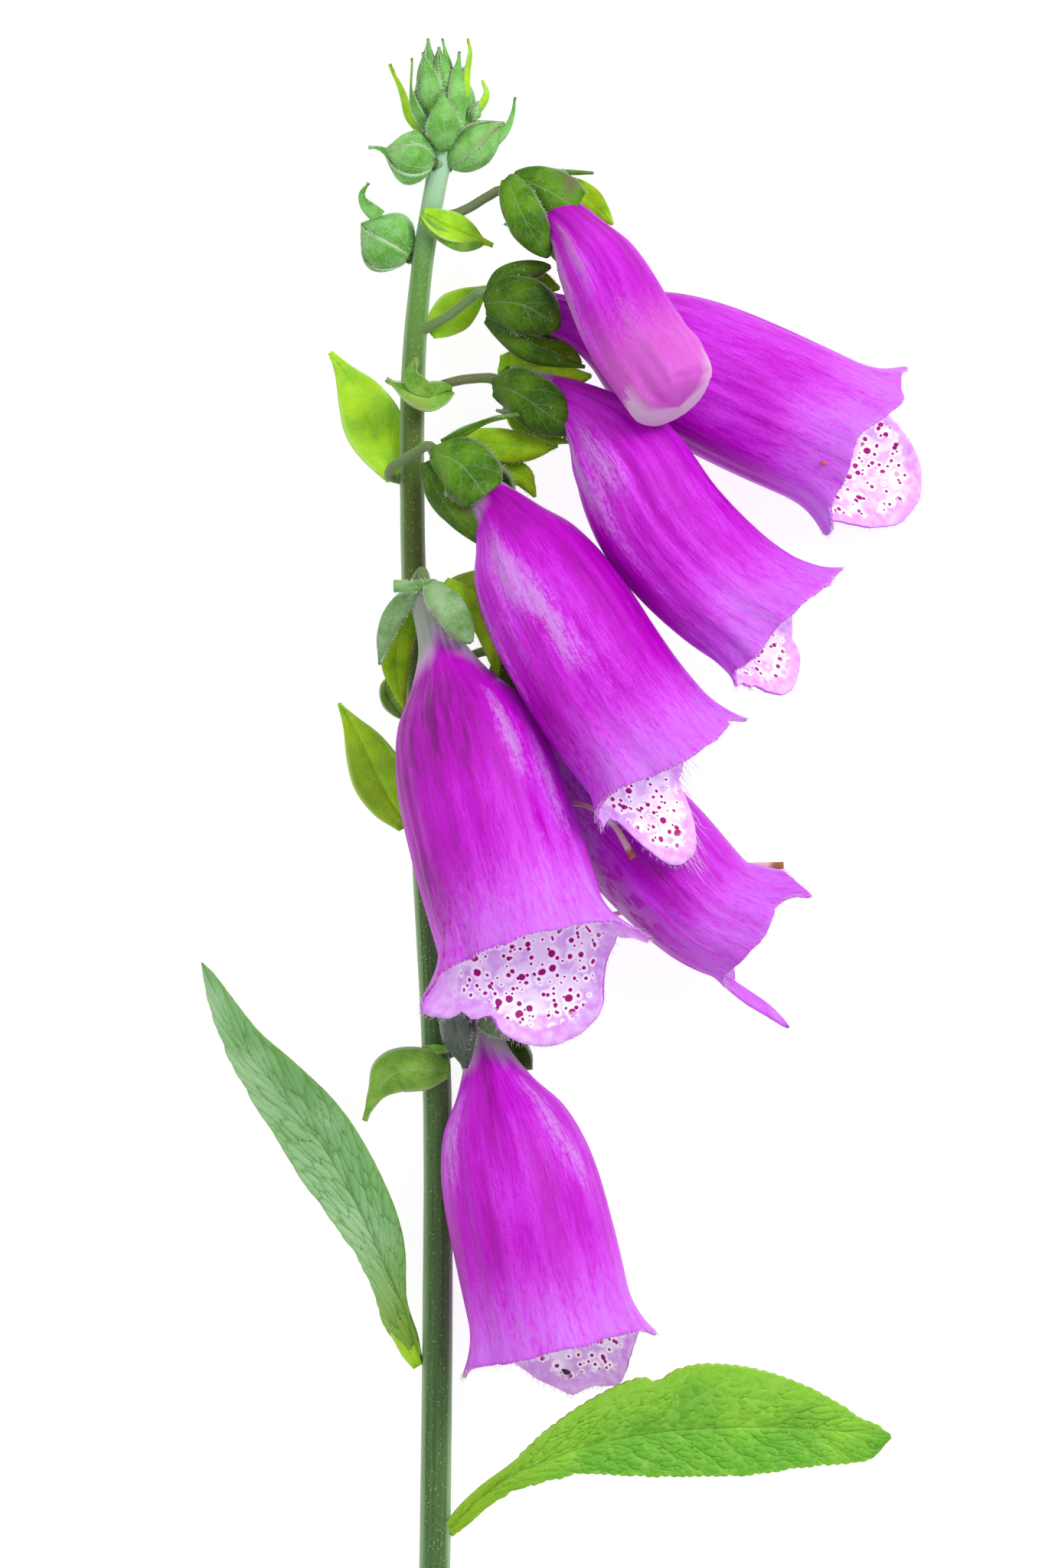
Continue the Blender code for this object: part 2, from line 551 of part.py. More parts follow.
BUD_PROFILE = [(0, 0), (0.04, 0.4), (0.2, 0.8), (0.42, 1.0), (0.64, 0.86), (0.82, 0.5), (0.93, 0.22), (1, 0)]
SMALL_BUD_PROFILE = [(0, 0), (0.1, 0.55), (0.42, 1.0), (0.75, 0.5), (1, 0)]


def bud_body(name, root_point, tip, radius, sides, home, outline=BUD_PROFILE):
    """A closed bud: five sepals that show as ridges and meet in a point."""
    line = Line([root_point, tip])
    profile = [(s * line.length, share * radius) for s, share in outline]
    return lathe(name, line, 0, profile, sides, "sepal green", home, lambda s, a: 1 + 0.07 * math.cos(5 * a))


def bud(name, shape):
    home = shape["root"]
    main = bud_body(name, shape["root"], shape["tip"], shape["radius"], 10, home)
    return fuse(main, [bract(f"{name}_hook", shape["hook"], shape["half"], 0, 0.2, home, (2, 4))])


def crown(name):
    home = CROWN_AXIS[0]
    axis = Line(CROWN_AXIS)
    heart = [(0, 0), (0.05, 0.9), (2.5, 1.3), (4.5, 0.9), (6.4, 0)]
    main = lathe(name, axis, 0, heart, 8, "sepal green", home)
    middle = Vector(CROWN_AXIS[0])
    others = [bud_body(f"{name}_bud", Vector(a), Vector(b), radius, 6, home, SMALL_BUD_PROFILE)
              for a, b, radius in CROWN_BUDS]
    for points, half in CROWN_BRACTS:
        inward = middle - Vector(points[1])
        inward.y = 0
        others.append(bract(f"{name}_bract", points, half, 0, 0.3, home, (2, 4), inward))
    return fuse(main, others)


# ---- Stem -----------------------------------------------------------------------------------------------

def stalk_line(flower, line):
    """The stalk's way, ending square to the flower's base and a gap short of it."""
    _, ahead, _, _ = line.at(0)
    end = line.at(0)[0] - ahead * GAP
    return through(flower["stalk"] + [tuple(end - ahead * 0.9), tuple(end)], STEM_STEPS)


def stem(lines):
    home = STEM["line"][0]
    points = through(STEM["line"], STEM_STEPS)
    radii = [hermite(list(enumerate(STEM["radii"])), k / STEM_STEPS) for k in range(len(points))]
    main = tube("stem", points, radii, 10, "stem green", home)
    others = []
    for flower, line in lines:
        way = stalk_line(flower, line)
        others.append(tube("stalk", way, [STALK_R] * len(way), 6, "stem green", home))
    for shape in BUDS.values():
        start, end = Vector(shape["from"]), Vector(shape["root"])
        ahead = (Vector(shape["tip"]) - end).normalized()
        others.append(tube("stalk", [start, end - ahead * (GAP + 0.5), end - ahead * GAP], [0.7] * 3, 6,
                           "stem green", home))
    return fuse(main, others)


# ---- The whole plant ------------------------------------------------------------------------------------

def settle():
    """Moves the plant so that the middle of its box's underside is the origin."""
    bpy.context.view_layer.update()
    graph = bpy.context.evaluated_depsgraph_get()
    corners = []
    for piece in plant.objects:
        if piece.type == "MESH":
            shown = piece.evaluated_get(graph)
            mesh = shown.to_mesh()
            corners += [shown.matrix_world @ vertex.co for vertex in mesh.vertices]
            shown.to_mesh_clear()
    low = [min(p[k] for p in corners) for k in range(3)]
    high = [max(p[k] for p in corners) for k in range(3)]
    root.location = (-(low[0] + high[0]) / 2, -(low[1] + high[1]) / 2, -low[2])


def build():
    lines = []
    for key, flower in FLOWERS.items():
        line = Line(through(flower["line"]), -flower["turn"])
        lines.append((flower, line))
        calyx(f"calyx_{key}", flower, line)
        corolla(f"corolla_{key}", flower, line)
        stamens(f"stamens_{key}", flower, line)
    line = Line(through(CLOSED["line"]), -CLOSED["turn"])
    lines.append((CLOSED, line))
    calyx("calyx_7", CLOSED, line)
    closed_corolla("corolla_7", CLOSED, line)
    for key, flower in SPENT.items():
        base, ahead = Vector(flower["base"]), Vector(flower["ahead"]).normalized()
        line = Line([base, base + ahead * 10], flower["turn"])
        lines.append((flower, line))
        calyx(f"calyx_spent_{key}", flower, line)
        pistil(f"pistil_{key}", flower, line)
    stem(lines)
    for name, shape in BRACTS.items():
        bract(name, shape["line"], shape["half"], shape["tilt"], shape["fold"], shape["line"][0])
    for name, shape in LEAVES.items():
        leaf(name, shape)
    for name, shape in BUDS.items():
        bud(name, shape)
    crown("bud_crown")
    settle()


for old in list(bpy.data.objects):
    bpy.data.objects.remove(old)
plant = bpy.data.collections.new("foxglove")
bpy.context.scene.collection.children.link(plant)
root = bpy.data.objects.new("foxglove_root", None)
plant.objects.link(root)
build()
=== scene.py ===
import bisect
import math
import random

import bpy
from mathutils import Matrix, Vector, noise


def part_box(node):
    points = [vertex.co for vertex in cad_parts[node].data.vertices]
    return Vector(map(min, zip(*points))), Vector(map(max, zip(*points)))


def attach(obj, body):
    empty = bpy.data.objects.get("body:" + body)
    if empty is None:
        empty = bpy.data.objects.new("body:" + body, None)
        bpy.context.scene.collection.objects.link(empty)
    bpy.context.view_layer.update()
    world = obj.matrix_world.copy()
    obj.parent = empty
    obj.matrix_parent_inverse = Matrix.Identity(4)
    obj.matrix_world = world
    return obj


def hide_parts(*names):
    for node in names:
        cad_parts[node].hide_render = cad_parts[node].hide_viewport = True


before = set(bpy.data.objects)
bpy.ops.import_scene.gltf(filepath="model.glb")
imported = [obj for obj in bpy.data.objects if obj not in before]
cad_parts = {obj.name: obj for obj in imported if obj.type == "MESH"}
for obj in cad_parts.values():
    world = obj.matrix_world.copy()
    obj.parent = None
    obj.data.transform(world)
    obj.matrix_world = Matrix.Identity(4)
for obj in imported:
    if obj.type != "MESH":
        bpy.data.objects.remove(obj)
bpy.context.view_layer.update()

mm = 0.001
scene = bpy.context.scene
chance = random.Random(7)

# Places below are in millimetres from the stem's cut foot, as in the solids: +Y up the stem, +Z off the
# table.
lowest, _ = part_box("stem")
footRing = [v.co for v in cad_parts["stem"].data.vertices if v.co.y < lowest.y + 0.01 * mm]
footMiddle = [(min(p[k] for p in footRing) + max(p[k] for p in footRing)) / 2 for k in range(3)]
footHeight = 1.8
home = Vector(footMiddle) - Vector((0, 0, footHeight)) * mm

print("camera, light and table")

look = {"right": 9.9, "along": 93.04, "height": 900, "lens": 184.05, "sensor": 36, "near": 0.01, "far": 10}

cameraData = bpy.data.cameras.new("camera")
cameraData.sensor_fit = "VERTICAL"
cameraData.sensor_height = look["sensor"]
cameraData.lens = look["lens"]
cameraData.clip_start = look["near"]
cameraData.clip_end = look["far"]
camera = bpy.data.objects.new("camera", cameraData)
camera.location = home + Vector((look["right"], look["along"], look["height"])) * mm
scene.collection.objects.link(camera)
scene.camera = camera
scene.view_settings.view_transform = "Standard"

studio = {
    "sky": 0.70,
    "lamps": [  # place, size and power of each soft lamp, which faces the plant's middle
        ("keyLamp", (0.38, 0.34, 0.58), 0.3, 4.2),
        ("fillLamp", (-0.5, 0.1, 0.5), 0.6, 0.8),
    ],
    "table": (0.30, 0.30, 0.30),
    "tableSize": 6,
    "tableDrop": 0.02,
    "glow": 0.86,  # the table is lit from below too
}

world = bpy.data.worlds.new("studio")
world.use_nodes = True
sky = world.node_tree.nodes["Background"]
sky.inputs["Color"].default_value = (1, 1, 1, 1)
sky.inputs["Strength"].default_value = studio["sky"]
scene.world = world
for name, place, size, power in studio["lamps"]:
    lampData = bpy.data.lights.new(name, "AREA")
    lampData.size = size
    lampData.energy = power
    lamp = bpy.data.objects.new(name, lampData)
    lamp.location = place
    lamp.rotation_euler = (-Vector(place)).to_track_quat("-Z", "Y").to_euler()
    scene.collection.objects.link(lamp)


# A socket that can be used in sums, and a material that its nodes are added to.
class Wire:
    def __init__(self, paint, socket):
        self.paint = paint
        self.socket = socket

    def __add__(self, other):
        return self.paint.math("ADD", self, other)

    def __radd__(self, other):
        return self.paint.math("ADD", other, self)

    def __sub__(self, other):
        return self.paint.math("SUBTRACT", self, other)

    def __rsub__(self, other):
        return self.paint.math("SUBTRACT", other, self)

    def __mul__(self, other):
        return self.paint.math("MULTIPLY", self, other)

    def __rmul__(self, other):
        return self.paint.math("MULTIPLY", other, self)


glowReach = 0.6  # how far light travels inside the tissue


class Paint:
    def __init__(self, name, roughness=0.5, glow=0.0, glowColour=(1, 1, 1), gloss=0.5):
        self.material = bpy.data.materials.new(name)
        self.material.use_nodes = True
        self.tree = self.material.node_tree
        self.shader = self.tree.nodes["Principled BSDF"]
        self.set("Roughness", roughness)
        self.set("Subsurface Weight", glow)
        self.set("Subsurface Radius", glowColour)
        self.set("Subsurface Scale", glowReach * mm)
        self.set("Specular IOR Level", gloss)

    def node(self, kind, settings, values, output=0):
        made = self.tree.nodes.new(kind)
        for key, value in settings.items():
            setattr(made, key, value)
        for place, value in values.items():
            if isinstance(value, Wire):
                self.tree.links.new(value.socket, made.inputs[place])
            else:
                made.inputs[place].default_value = value
        return Wire(self, made.outputs[output])

    def set(self, place, value):
        if isinstance(value, Wire):
            self.tree.links.new(value.socket, self.shader.inputs[place])
        else:
            self.shader.inputs[place].default_value = value

    def mark(self, name):
        return self.node("ShaderNodeAttribute", {"attribute_name": name}, {}, "Vector")

    def split(self, vector):
        parts = self.node("ShaderNodeSeparateXYZ", {}, {0: vector}).socket.node
        return [Wire(self, out) for out in parts.outputs]

    def stretch(self, vector, scale):
        return self.node("ShaderNodeVectorMath", {"operation": "MULTIPLY"}, {0: vector, 1: scale})

    def mix(self, first, second, share):
        pair = [c if isinstance(c, Wire) else (*c, 1) for c in (first, second)]
        return self.node("ShaderNodeMix", {"data_type": "RGBA"}, {0: share, 6: pair[0], 7: pair[1]}, 2)

    def cloud(self, vector, scale, detail=3.0, rough=0.5):
        return self.node("ShaderNodeTexNoise", {}, {"Vector": vector, "Scale": scale, "Detail": detail,
                                                    "Roughness": rough})

    def drawn(self, vector, across, along, detail, rough=0.5):  # a cloud drawn out along the growth
        return self.cloud(self.stretch(vector, (across, across, along)), 1.0, detail, rough)

    def cells(self, vector, scale, output="Distance", feature="F1", flat="3D"):
        return self.node("ShaderNodeTexVoronoi", {"feature": feature, "voronoi_dimensions": flat},
                         {"Vector": vector, "Scale": scale}, output)

    def ramp(self, value, stops):  # colours along a value, as (place, colour)
        made = self.node("ShaderNodeValToRGB", {}, {0: value})
        marks = made.socket.node.color_ramp.elements
        for mark, (place, colour) in ((marks[0], stops[0]), (marks[1], stops[-1])):
            mark.position, mark.color = place, (*colour, 1)
        for place, colour in stops[1:-1]:
            marks.new(place).color = (*colour, 1)
        return made

    def math(self, operation, first, second=0.0):
        return self.node("ShaderNodeMath", {"operation": operation}, {0: first, 1: second})

    def fade(self, value, low, high, start=0.0, end=1.0):
        return self.node("ShaderNodeMapRange", {"interpolation_type": "SMOOTHSTEP"},
                         {0: value, 1: low, 2: high, 3: start, 4: end})

    def bump(self, height, strength, distance):
        return self.node("ShaderNodeBump", {}, {"Strength": strength, "Distance": distance * mm,
                                                "Height": height})


floorPaint = Paint("table", roughness=0.8, gloss=0.1)
floorPaint.set("Base Color", (*studio["table"], 1))
floorPaint.set("Emission Color", (1, 1, 1, 1))
floorPaint.set("Emission Strength", studio["glow"])
bpy.ops.mesh.primitive_plane_add(size=studio["tableSize"])
floor = bpy.context.object
floor.name = "table"
floor.location.z = -studio["tableDrop"] * mm
floor.data.materials.append(floorPaint.material)


# Curves and centre lines

def smoothValue(stations, x):
    if x <= stations[0][0]:
        return stations[0][1]
    if x >= stations[-1][0]:
        return stations[-1][1]
    i = max(k for k in range(len(stations) - 1) if stations[k][0] <= x)

    def slope(k):
        low, high = stations[max(k - 1, 0)], stations[min(k + 1, len(stations) - 1)]
        return (high[1] - low[1]) / (high[0] - low[0])

    (x0, y0), (x1, y1) = stations[i], stations[i + 1]
    width = x1 - x0
    t = (x - x0) / width
    return ((2 * t**3 - 3 * t**2 + 1) * y0 + (t**3 - 2 * t**2 + t) * width * slope(i)
            + (3 * t**2 - 2 * t**3) * y1 + (t**3 - t**2) * width * slope(i + 1))


def smoothWay(points, steps=12):
    axes = [[(k, p[axis]) for k, p in enumerate(points)] for axis in range(3)]
    return [Vector([smoothValue(axis, k / steps) for axis in axes])
            for k in range((len(points) - 1) * steps + 1)]


class Line:
    def __init__(self, points, turn=0.0, up=(0, 0, 1)):
        self.points = [Vector(p) for p in points]
        self.reach = [0.0]
        for a, b in zip(self.points, self.points[1:]):
            self.reach.append(self.reach[-1] + (b - a).length)
        self.length = self.reach[-1]
        self.turn = math.radians(turn)
        self.up = Vector(up)

    def at(self, s):  # the point s along the line, with the ways ahead, up and sideways
        last = len(self.points) - 2
        i = min(max(bisect.bisect_right(self.reach, s) - 1, 0), last)
        step = self.points[i + 1] - self.points[i]
        share = (s - self.reach[i]) / step.length
        before = self.points[i + 1] - self.points[max(i - 1, 0)]
        after = self.points[min(i + 2, last + 1)] - self.points[i]
        inside = min(max(share, 0.0), 1.0)
        ahead = (before.normalized() * (1 - inside) + after.normalized() * inside).normalized()
        if share < 0 or share > 1:
            ahead = step.normalized()
        up = (self.up - ahead * self.up.dot(ahead)).normalized()
        side = ahead.cross(up)
        turned = up * math.cos(self.turn) + side * math.sin(self.turn)
        return self.points[i] + step * share, ahead, turned, ahead.cross(turned)

    def out(self, s, angle, radius):
        centre, _, up, side = self.at(s)
        return centre + (up * math.cos(angle) + side * math.sin(angle)) * radius


def onTable(point, low=0.0):
    return Vector((point.x, point.y, max(point.z, low)))


def turnFrom(degrees, middle):  # how far round, either way
    return abs((degrees - middle + 180) % 360 - 180)


def hump(degrees, middle, half):
    off = turnFrom(degrees, middle) / half
    return math.cos(math.pi * off / 2) ** 2 if off < 1 else 0.0


def climb(value, low, high):  # from 0 at low to 1 at high, and level outside
    return min(1.0, max(0.0, (value - low) / (high - low)))


def wave(x, y=0.0, z=0.0):
    return noise.noise(Vector((x, y, z)))


# A mesh put together from bent grids and tubes. Each point carries two marks that its paint reads.
class Tissue:
    def __init__(self):
        self.points = []
        self.faces = []
        self.marks = []
        self.tones = []
        self.skins = []
        self.rims = []

    def put(self, point, mark=(0, 0, 0), tone=(0, 0, 0)):
        self.points.append(home + Vector(point) * mm)
        self.marks.append(mark)
        self.tones.append(tone)
        return len(self.points) - 1

    def face(self, corners, skin=0):
        self.faces.append(corners)
        self.skins.append(skin)

    def sheet(self, across, along, place, wrap=False, skin=0):
        columns = across if wrap else across + 1
        first = len(self.points)
        rows = [[place(-1 + 2 * i / across, j / along) for i in range(columns)] for j in range(along + 1)]
        for row in rows:
            for spot in row:
                self.put(*spot)
        for j in range(along):
            for i in range(across):
                a, b = i, (i + 1) % columns
                self.face([first + j * columns + a, first + j * columns + b,
                           first + (j + 1) * columns + b, first + (j + 1) * columns + a], skin)
        if wrap:  # the free edge, for hairs: (point, way out)
            self.rims += [(rows[-1][i][0], rows[-1][i][0] - rows[-2][i][0]) for i in range(columns)]
        else:
            self.rims += [(row[i][0], row[i][0] - row[k][0]) for row in rows for i, k in ((0, 1), (-1, -2))]

    def tube(self, line, radiusAt, sides, rings, mark, capSkin=0, start=0.0, end=1.0):
        first = len(self.points)
        for j in range(rings + 1):
            t = start + (end - start) * j / rings
            for i in range(sides):
                angle = 2 * math.pi * i / sides
                s = t * line.length
                self.put(onTable(line.out(s, angle, radiusAt(t, angle))), *mark(t, angle))
        for j in range(rings):
            for i in range(sides):
                a, b = first + j * sides + i, first + j * sides + (i + 1) % sides
                self.face([b, a, a + sides, b + sides])
        for ring, order in ((0, 1), (rings, -1)):
            t = start + (end - start) * ring / rings
            middle = self.put(line.at(t * line.length)[0], (0, 0, t * line.length), (0, 0, 1))
            for i in range(sides):
                a, b = first + ring * sides + i, first + ring * sides + (i + 1) % sides
                self.face([middle, a, b][::order], capSkin)

    def hair(self, root, way, length, thickness, bend):  # three-sided, with an elbow halfway
        side = way.orthogonal().normalized()
        other = way.cross(side).normalized()
        elbow = root + way * length * 0.5 + bend * length * 0.15
        tip = root + way * length * 0.95 + bend * length * 0.5
        rings = []
        for middle, width in ((root, thickness), (elbow, thickness * 0.7)):
            rings.append([self.put(middle + (side * math.cos(a) + other * math.sin(a)) * width)
                          for a in (0, 2.1, 4.2)])
        top = self.put(tip)
        for k in range(3):
            n = (k + 1) % 3
            self.face([rings[0][k], rings[0][n], rings[1][n], rings[1][k]])
            self.face([rings[1][k], rings[1][n], top])

    def make(self, name, paints, nodes=(), thickness=0.0, offset=-1, innerSkin=0):
        mesh = bpy.data.meshes.new(name)
        mesh.from_pydata(self.points, [], self.faces)
        for paint in paints:
            mesh.materials.append(paint.material)
        mesh.polygons.foreach_set("material_index", self.skins)
        for key, values in (("mark", self.marks), ("tone", self.tones)):
            layer = mesh.attributes.new(key, "FLOAT_VECTOR", "POINT")
            layer.data.foreach_set("vector", [number for value in values for number in value])
        mesh.shade_smooth()
        piece = bpy.data.objects.new(name, mesh)
        scene.collection.objects.link(piece)
        if thickness:
            wall = piece.modifiers.new("wall", "SOLIDIFY")
            wall.thickness = thickness * mm
            wall.offset = offset
            wall.material_offset = innerSkin
        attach(piece, "root")
        if nodes:
            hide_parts(*nodes)
        return piece


print("corollas")

petal = {
    "wall": 0.34, "neckRadius": 2.2, "shoulder": 11.0, "start": 1.5, "around": 112, "along": 84,
    "rimZone": 5.5, "ruffle": 0.3, "nick": 0.12, "ribs": 0.3, "ribZone": 12, "sag": 0.05, "lipRoll": 0.9,
    "folds": [(64, 0.4), (44, -0.3)], "foldHalf": 14, "foldZone": 16,  # folds at both sides of the mouth
    "whiteZone": 5.5, "white": 2.2, "whiteSide": 3.5,
}
# As in the solids, with finer mouths. Lobes are (degrees, half width, reach, flare, point), where a point of
# 0 is round. Patches of pale colour, painted sheen over the petal's own pale mottling, and of dark colour,
# painted shade over its own darker streaks, are (degrees, distance, half width, half length, strength).
flowers = {
    "1": {"line": [(4.3, 69.4, 7.6), (7.3, 57.6, 8.3), (10.6, 44.4, 8.9), (13.8, 30.6, 9.3)], "turn": -5,
          "neck": 7, "belly": 8.8, "rim": 1.04,
          "lip": 5.4, "span": 52, "middle": -170, "side": 0.3, "brow": 0.3, "flare": 1.0,
          "lobes": [(88, 14, 0.8, 0.6, 1.2), (-88, 14, 0.8, 0.7, 1.2), (-150, 22, 1.3, 0, 1.2),
                    (176, 16, 1.1, 0, 1.3), (146, 20, -0.6, 0, 0)],
          "calyx": 0.74, "open": 0.1, "shift": 0.8, "roll": 8, "white": 7.5,
          "pale": [(58, 15, 26, 8, 1.0), (-50, 15, 22, 9, 0.9), (-62, 22, 14, 6, 0.6),
                   (14, 24, 10, 14, 0.3), (-80, 26, 16, 18, 0.4)],
          "dark": [(4, 10, 22, 12, 1.2), (24, 22, 8, 18, 0.8), (-22, 22, 8, 16, 0.5),
                   (80, 34, 36, 20, 1.3)]},
    "2": {"line": [(-0.9, 115.4, 14), (2.5, 102.3, 16.2), (6.4, 88.4, 19.1), (10.6, 74.6, 22.4)], "turn": 0,
          "neck": 8, "belly": 9.1, "rim": 1.04,
          "lip": 8.6, "span": 60, "middle": -176, "side": 1.6, "brow": 0.3, "flare": 2.6,
          "lobes": [(116, 34, 2.9, 0.5, 0), (92, 14, 0.5, 0.6, 1.2), (-92, 14, 1.1, 0.6, 1.2),
                    (138, 10, -0.9, -1.0, 0), (-128, 22, -1.2, -0.3, 0)],
          "calyx": 1.0, "open": 1.5, "shift": 1.6, "roll": 8, "white": 9.0,
          "pale": [(-34, 20, 16, 8, 1.1), (-54, 26, 16, 9, 0.7), (-30, 38, 30, 12, 0.45),
                   (-66, 34, 20, 16, 0.4)],
          "dark": [(16, 15, 90, 10, 1.2), (70, 28, 46, 28, 1.1), (26, 26, 9, 16, 0.8), (2, 24, 7, 14, 0.6),
                   (60, 42, 40, 16, 0.9)]},
    "3": {"line": [(7.1, 106.9, 6.1), (13.8, 97.4, 7.2), (23.4, 86.7, 8.3), (30, 79.6, 8.4),
                   (35, 76.9, 8.6)], "turn": 78,
          "neck": 8, "belly": 7.0, "rim": 0.9,
          "lip": 1.4, "span": 40, "side": -1.4, "brow": 0.8, "flare": 0.6,
          "lobes": [(20, 26, 4.0, 0.3, 1.5), (176, 22, 8.0, 0.1, 1.5), (80, 60, 3.0, 0.2, 0)],
          "calyx": 0.82, "open": 0, "roll": 0, "white": 5.0,
          "pale": [(120, 10, 60, 18, 1.3), (150, 22, 20, 10, 0.6), (60, 14, 50, 10, 0.6)],
          "dark": [(92, 31, 16, 6, 1.4), (64, 26, 12, 7, 1.2), (140, 32, 26, 9, 0.9)]},
    "4": {"line": [(0.3, 129.6, 14), (7.1, 123.2, 15.2), (13.1, 113.3, 17.6), (19.6, 102.6, 20.6),
                   (25.6, 94.9, 23.6)], "turn": 30,
          "neck": 8, "belly": 8.1, "rim": 1.02,
          "lip": 7.4, "span": 30, "middle": 180, "side": 0.3, "brow": 0.3, "flare": 1.2,
          "lobes": [(10, 84, 3.2, 0.2, 0), (-66, 18, 0.9, 0.5, 1.3), (116, 18, 0.9, 0.4, 1.2),
                    (-112, 48, -3.6, -0.8, 0)],
          "calyx": 0.97, "open": 0.3, "roll": -80, "white": 7.5,
          "pale": [(58, 17, 30, 8, 1.0), (100, 20, 18, 16, 0.8), (40, 24, 20, 9, 0.8), (78, 27, 12, 8, 0.5),
                   (24, 32, 44, 14, 0.4)],
          "dark": [(20, 10, 70, 5, 0.9), (-6, 22, 16, 20, 0.9), (-34, 22, 26, 20, 1.2),
                   (88, 36, 28, 14, 1.2)]},
    "5": {"line": [(7.1, 137.8, 9.9), (15.4, 135.1, 12.8), (21, 129.5, 15.2), (25.7, 121.4, 16.2),
                   (32, 114.7, 17.4), (38.8, 110.1, 18.8)], "turn": 34,
          "neck": 9, "belly": 7.1, "rim": 0.98,
          "lip": 3.2, "span": 34, "middle": 178, "side": 0.2, "brow": 0.3, "flare": 1.0,
          "lobes": [(-20, 70, 1.6, 0.1, 0), (-60, 22, 0.8, 0.9, 1.3), (104, 14, 0.9, 0.9, 1.2),
                    (96, 34, -1.9, 0, 0), (-118, 40, -1.6, -0.3, 0)],
          "calyx": 0.8, "open": 0, "roll": -62, "white": 6.5,
          "pale": [(96, 15, 22, 12, 1.2), (60, 17, 34, 8, 0.9), (80, 27, 16, 10, 0.6),
                   (30, 32, 34, 16, 0.3)],
          "dark": [(34, 22, 8, 14, 0.9), (-14, 14, 24, 12, 0.8), (8, 26, 8, 14, 0.6),
                   (100, 36, 30, 13, 0.8)]},
    "6": {"line": [(6.3, 147.2, 10.8), (17.5, 144, 9.2), (28.6, 139.2, 8.6), (38.4, 134.6, 8.8),
                   (46.8, 130.6, 9.6)], "turn": 14,
          "neck": 10, "belly": 8.3, "rim": 1.0,
          "lip": 8.4, "span": 54, "middle": 178, "side": 0.3, "brow": 0.3, "flare": 1.3,
          "lobes": [(-34, 60, 2.6, 0.1, 0), (-76, 12, 0.8, 0.5, 1.2), (84, 34, 1.6, 0.5, 0),
                    (40, 34, 1.0, 0, 0)],
          "calyx": 0.82, "open": 0, "roll": -58, "white": 5.0,
          "pale": [(-20, 36, 70, 26, 0.3)],
          "dark": [(72, 27, 30, 18, 0.9), (64, 16, 34, 12, 0.4)]},
}
closedFlower = {"line": [(8.3, 158.4, 11.2), (14, 155.7, 13.8), (18, 150.4, 17.2), (21.8, 142.9, 20.8),
                         (25, 137.6, 23.4), (27, 134.2, 24.8)], "turn": 10,
                "neck": 7, "belly": 5.4, "rim": 1.0, "calyx": 0.83, "open": 0, "roll": -80, "white": 3.0,
                "pale": [(84, 12, 34, 15, 1.5), (34, 13, 22, 8, 1.0), (4, 26, 34, 9, 0.6)],
                "dark": [(0, 5, 90, 9, 0.9), (-40, 16, 30, 14, 0.7), (52, 24, 14, 14, 1.1),
                         (96, 32, 24, 9, 0.9)]}


petalColours = {
    "skin": [(0.0, (0.18, 0.0, 0.18)), (0.2, (0.31, 0.0, 0.32)), (0.42, (0.43, 0.0, 0.49)),
             (0.62, (0.52, 0.03, 0.65)), (0.8, (0.54, 0.10, 0.74)), (1.0, (0.56, 0.22, 0.80))],
    # The last two colours on the next line are painted sheen, laid on the pale patches.
    "rim": (0.49, 0.17, 0.62), "paintedSheen": (0.50, 0.25, 0.61), "closedPaintedSheen": (0.38, 0.20, 0.38),
    "under": (0.52, 0.30, 0.54), "underSpot": (0.38, 0.01, 0.34),
    "neck": (0.46, 0.32, 0.50), "neckEnd": (0.30, 0.33, 0.29),
    "tip": (0.52, 0.07, 0.44), "paleTip": (0.60, 0.18, 0.46), "fold": (0.64, 0.50, 0.62),
    "dot": (0.34, 0.16, 0.30),
    "throat": (0.46, 0.05, 0.54), "paleThroat": (0.56, 0.20, 0.70),
    "rose": (0.58, 0.24, 0.68), "paleRose": (0.62, 0.42, 0.76), "lip": (0.74, 0.67, 0.83),
    "ring": (0.86, 0.82, 0.90), "spot": (0.30, 0.0, 0.15),
}
petalGrain = {  # how fine across and along the bell, detail and roughness
    "broad": (1.8, 0.08, 3.0, 0.5), "streak": (9.0, 0.13, 4.0, 0.6), "vein": (26.0, 0.42, 3.0, 0.62),
    "grain": (60.0, 4.0, 3.0, 0.65), "crease": (20.0, 0.9, 3.0, 0.6), "mottle": (15.0, 1.5, 4.0, 0.7),
    "show": (7.0, 0.5, 3.0, 0.5),
}
lipSpots = {
    "layers": [(0.66, 0.0), (0.92, 7.3), (1.2, 3.1)],  # how close, and how far moved
    "radius": 0.07, "spread": 0.18, "ring": 0.32, "size": (7.4, 0.85), "field": (1.25, 0.95),
}
petalLight = {"inside": 0.3, "outside": 0.06}  # painted glow: the petals give off light of their own colour, standing in for the light that comes through the thin tissue
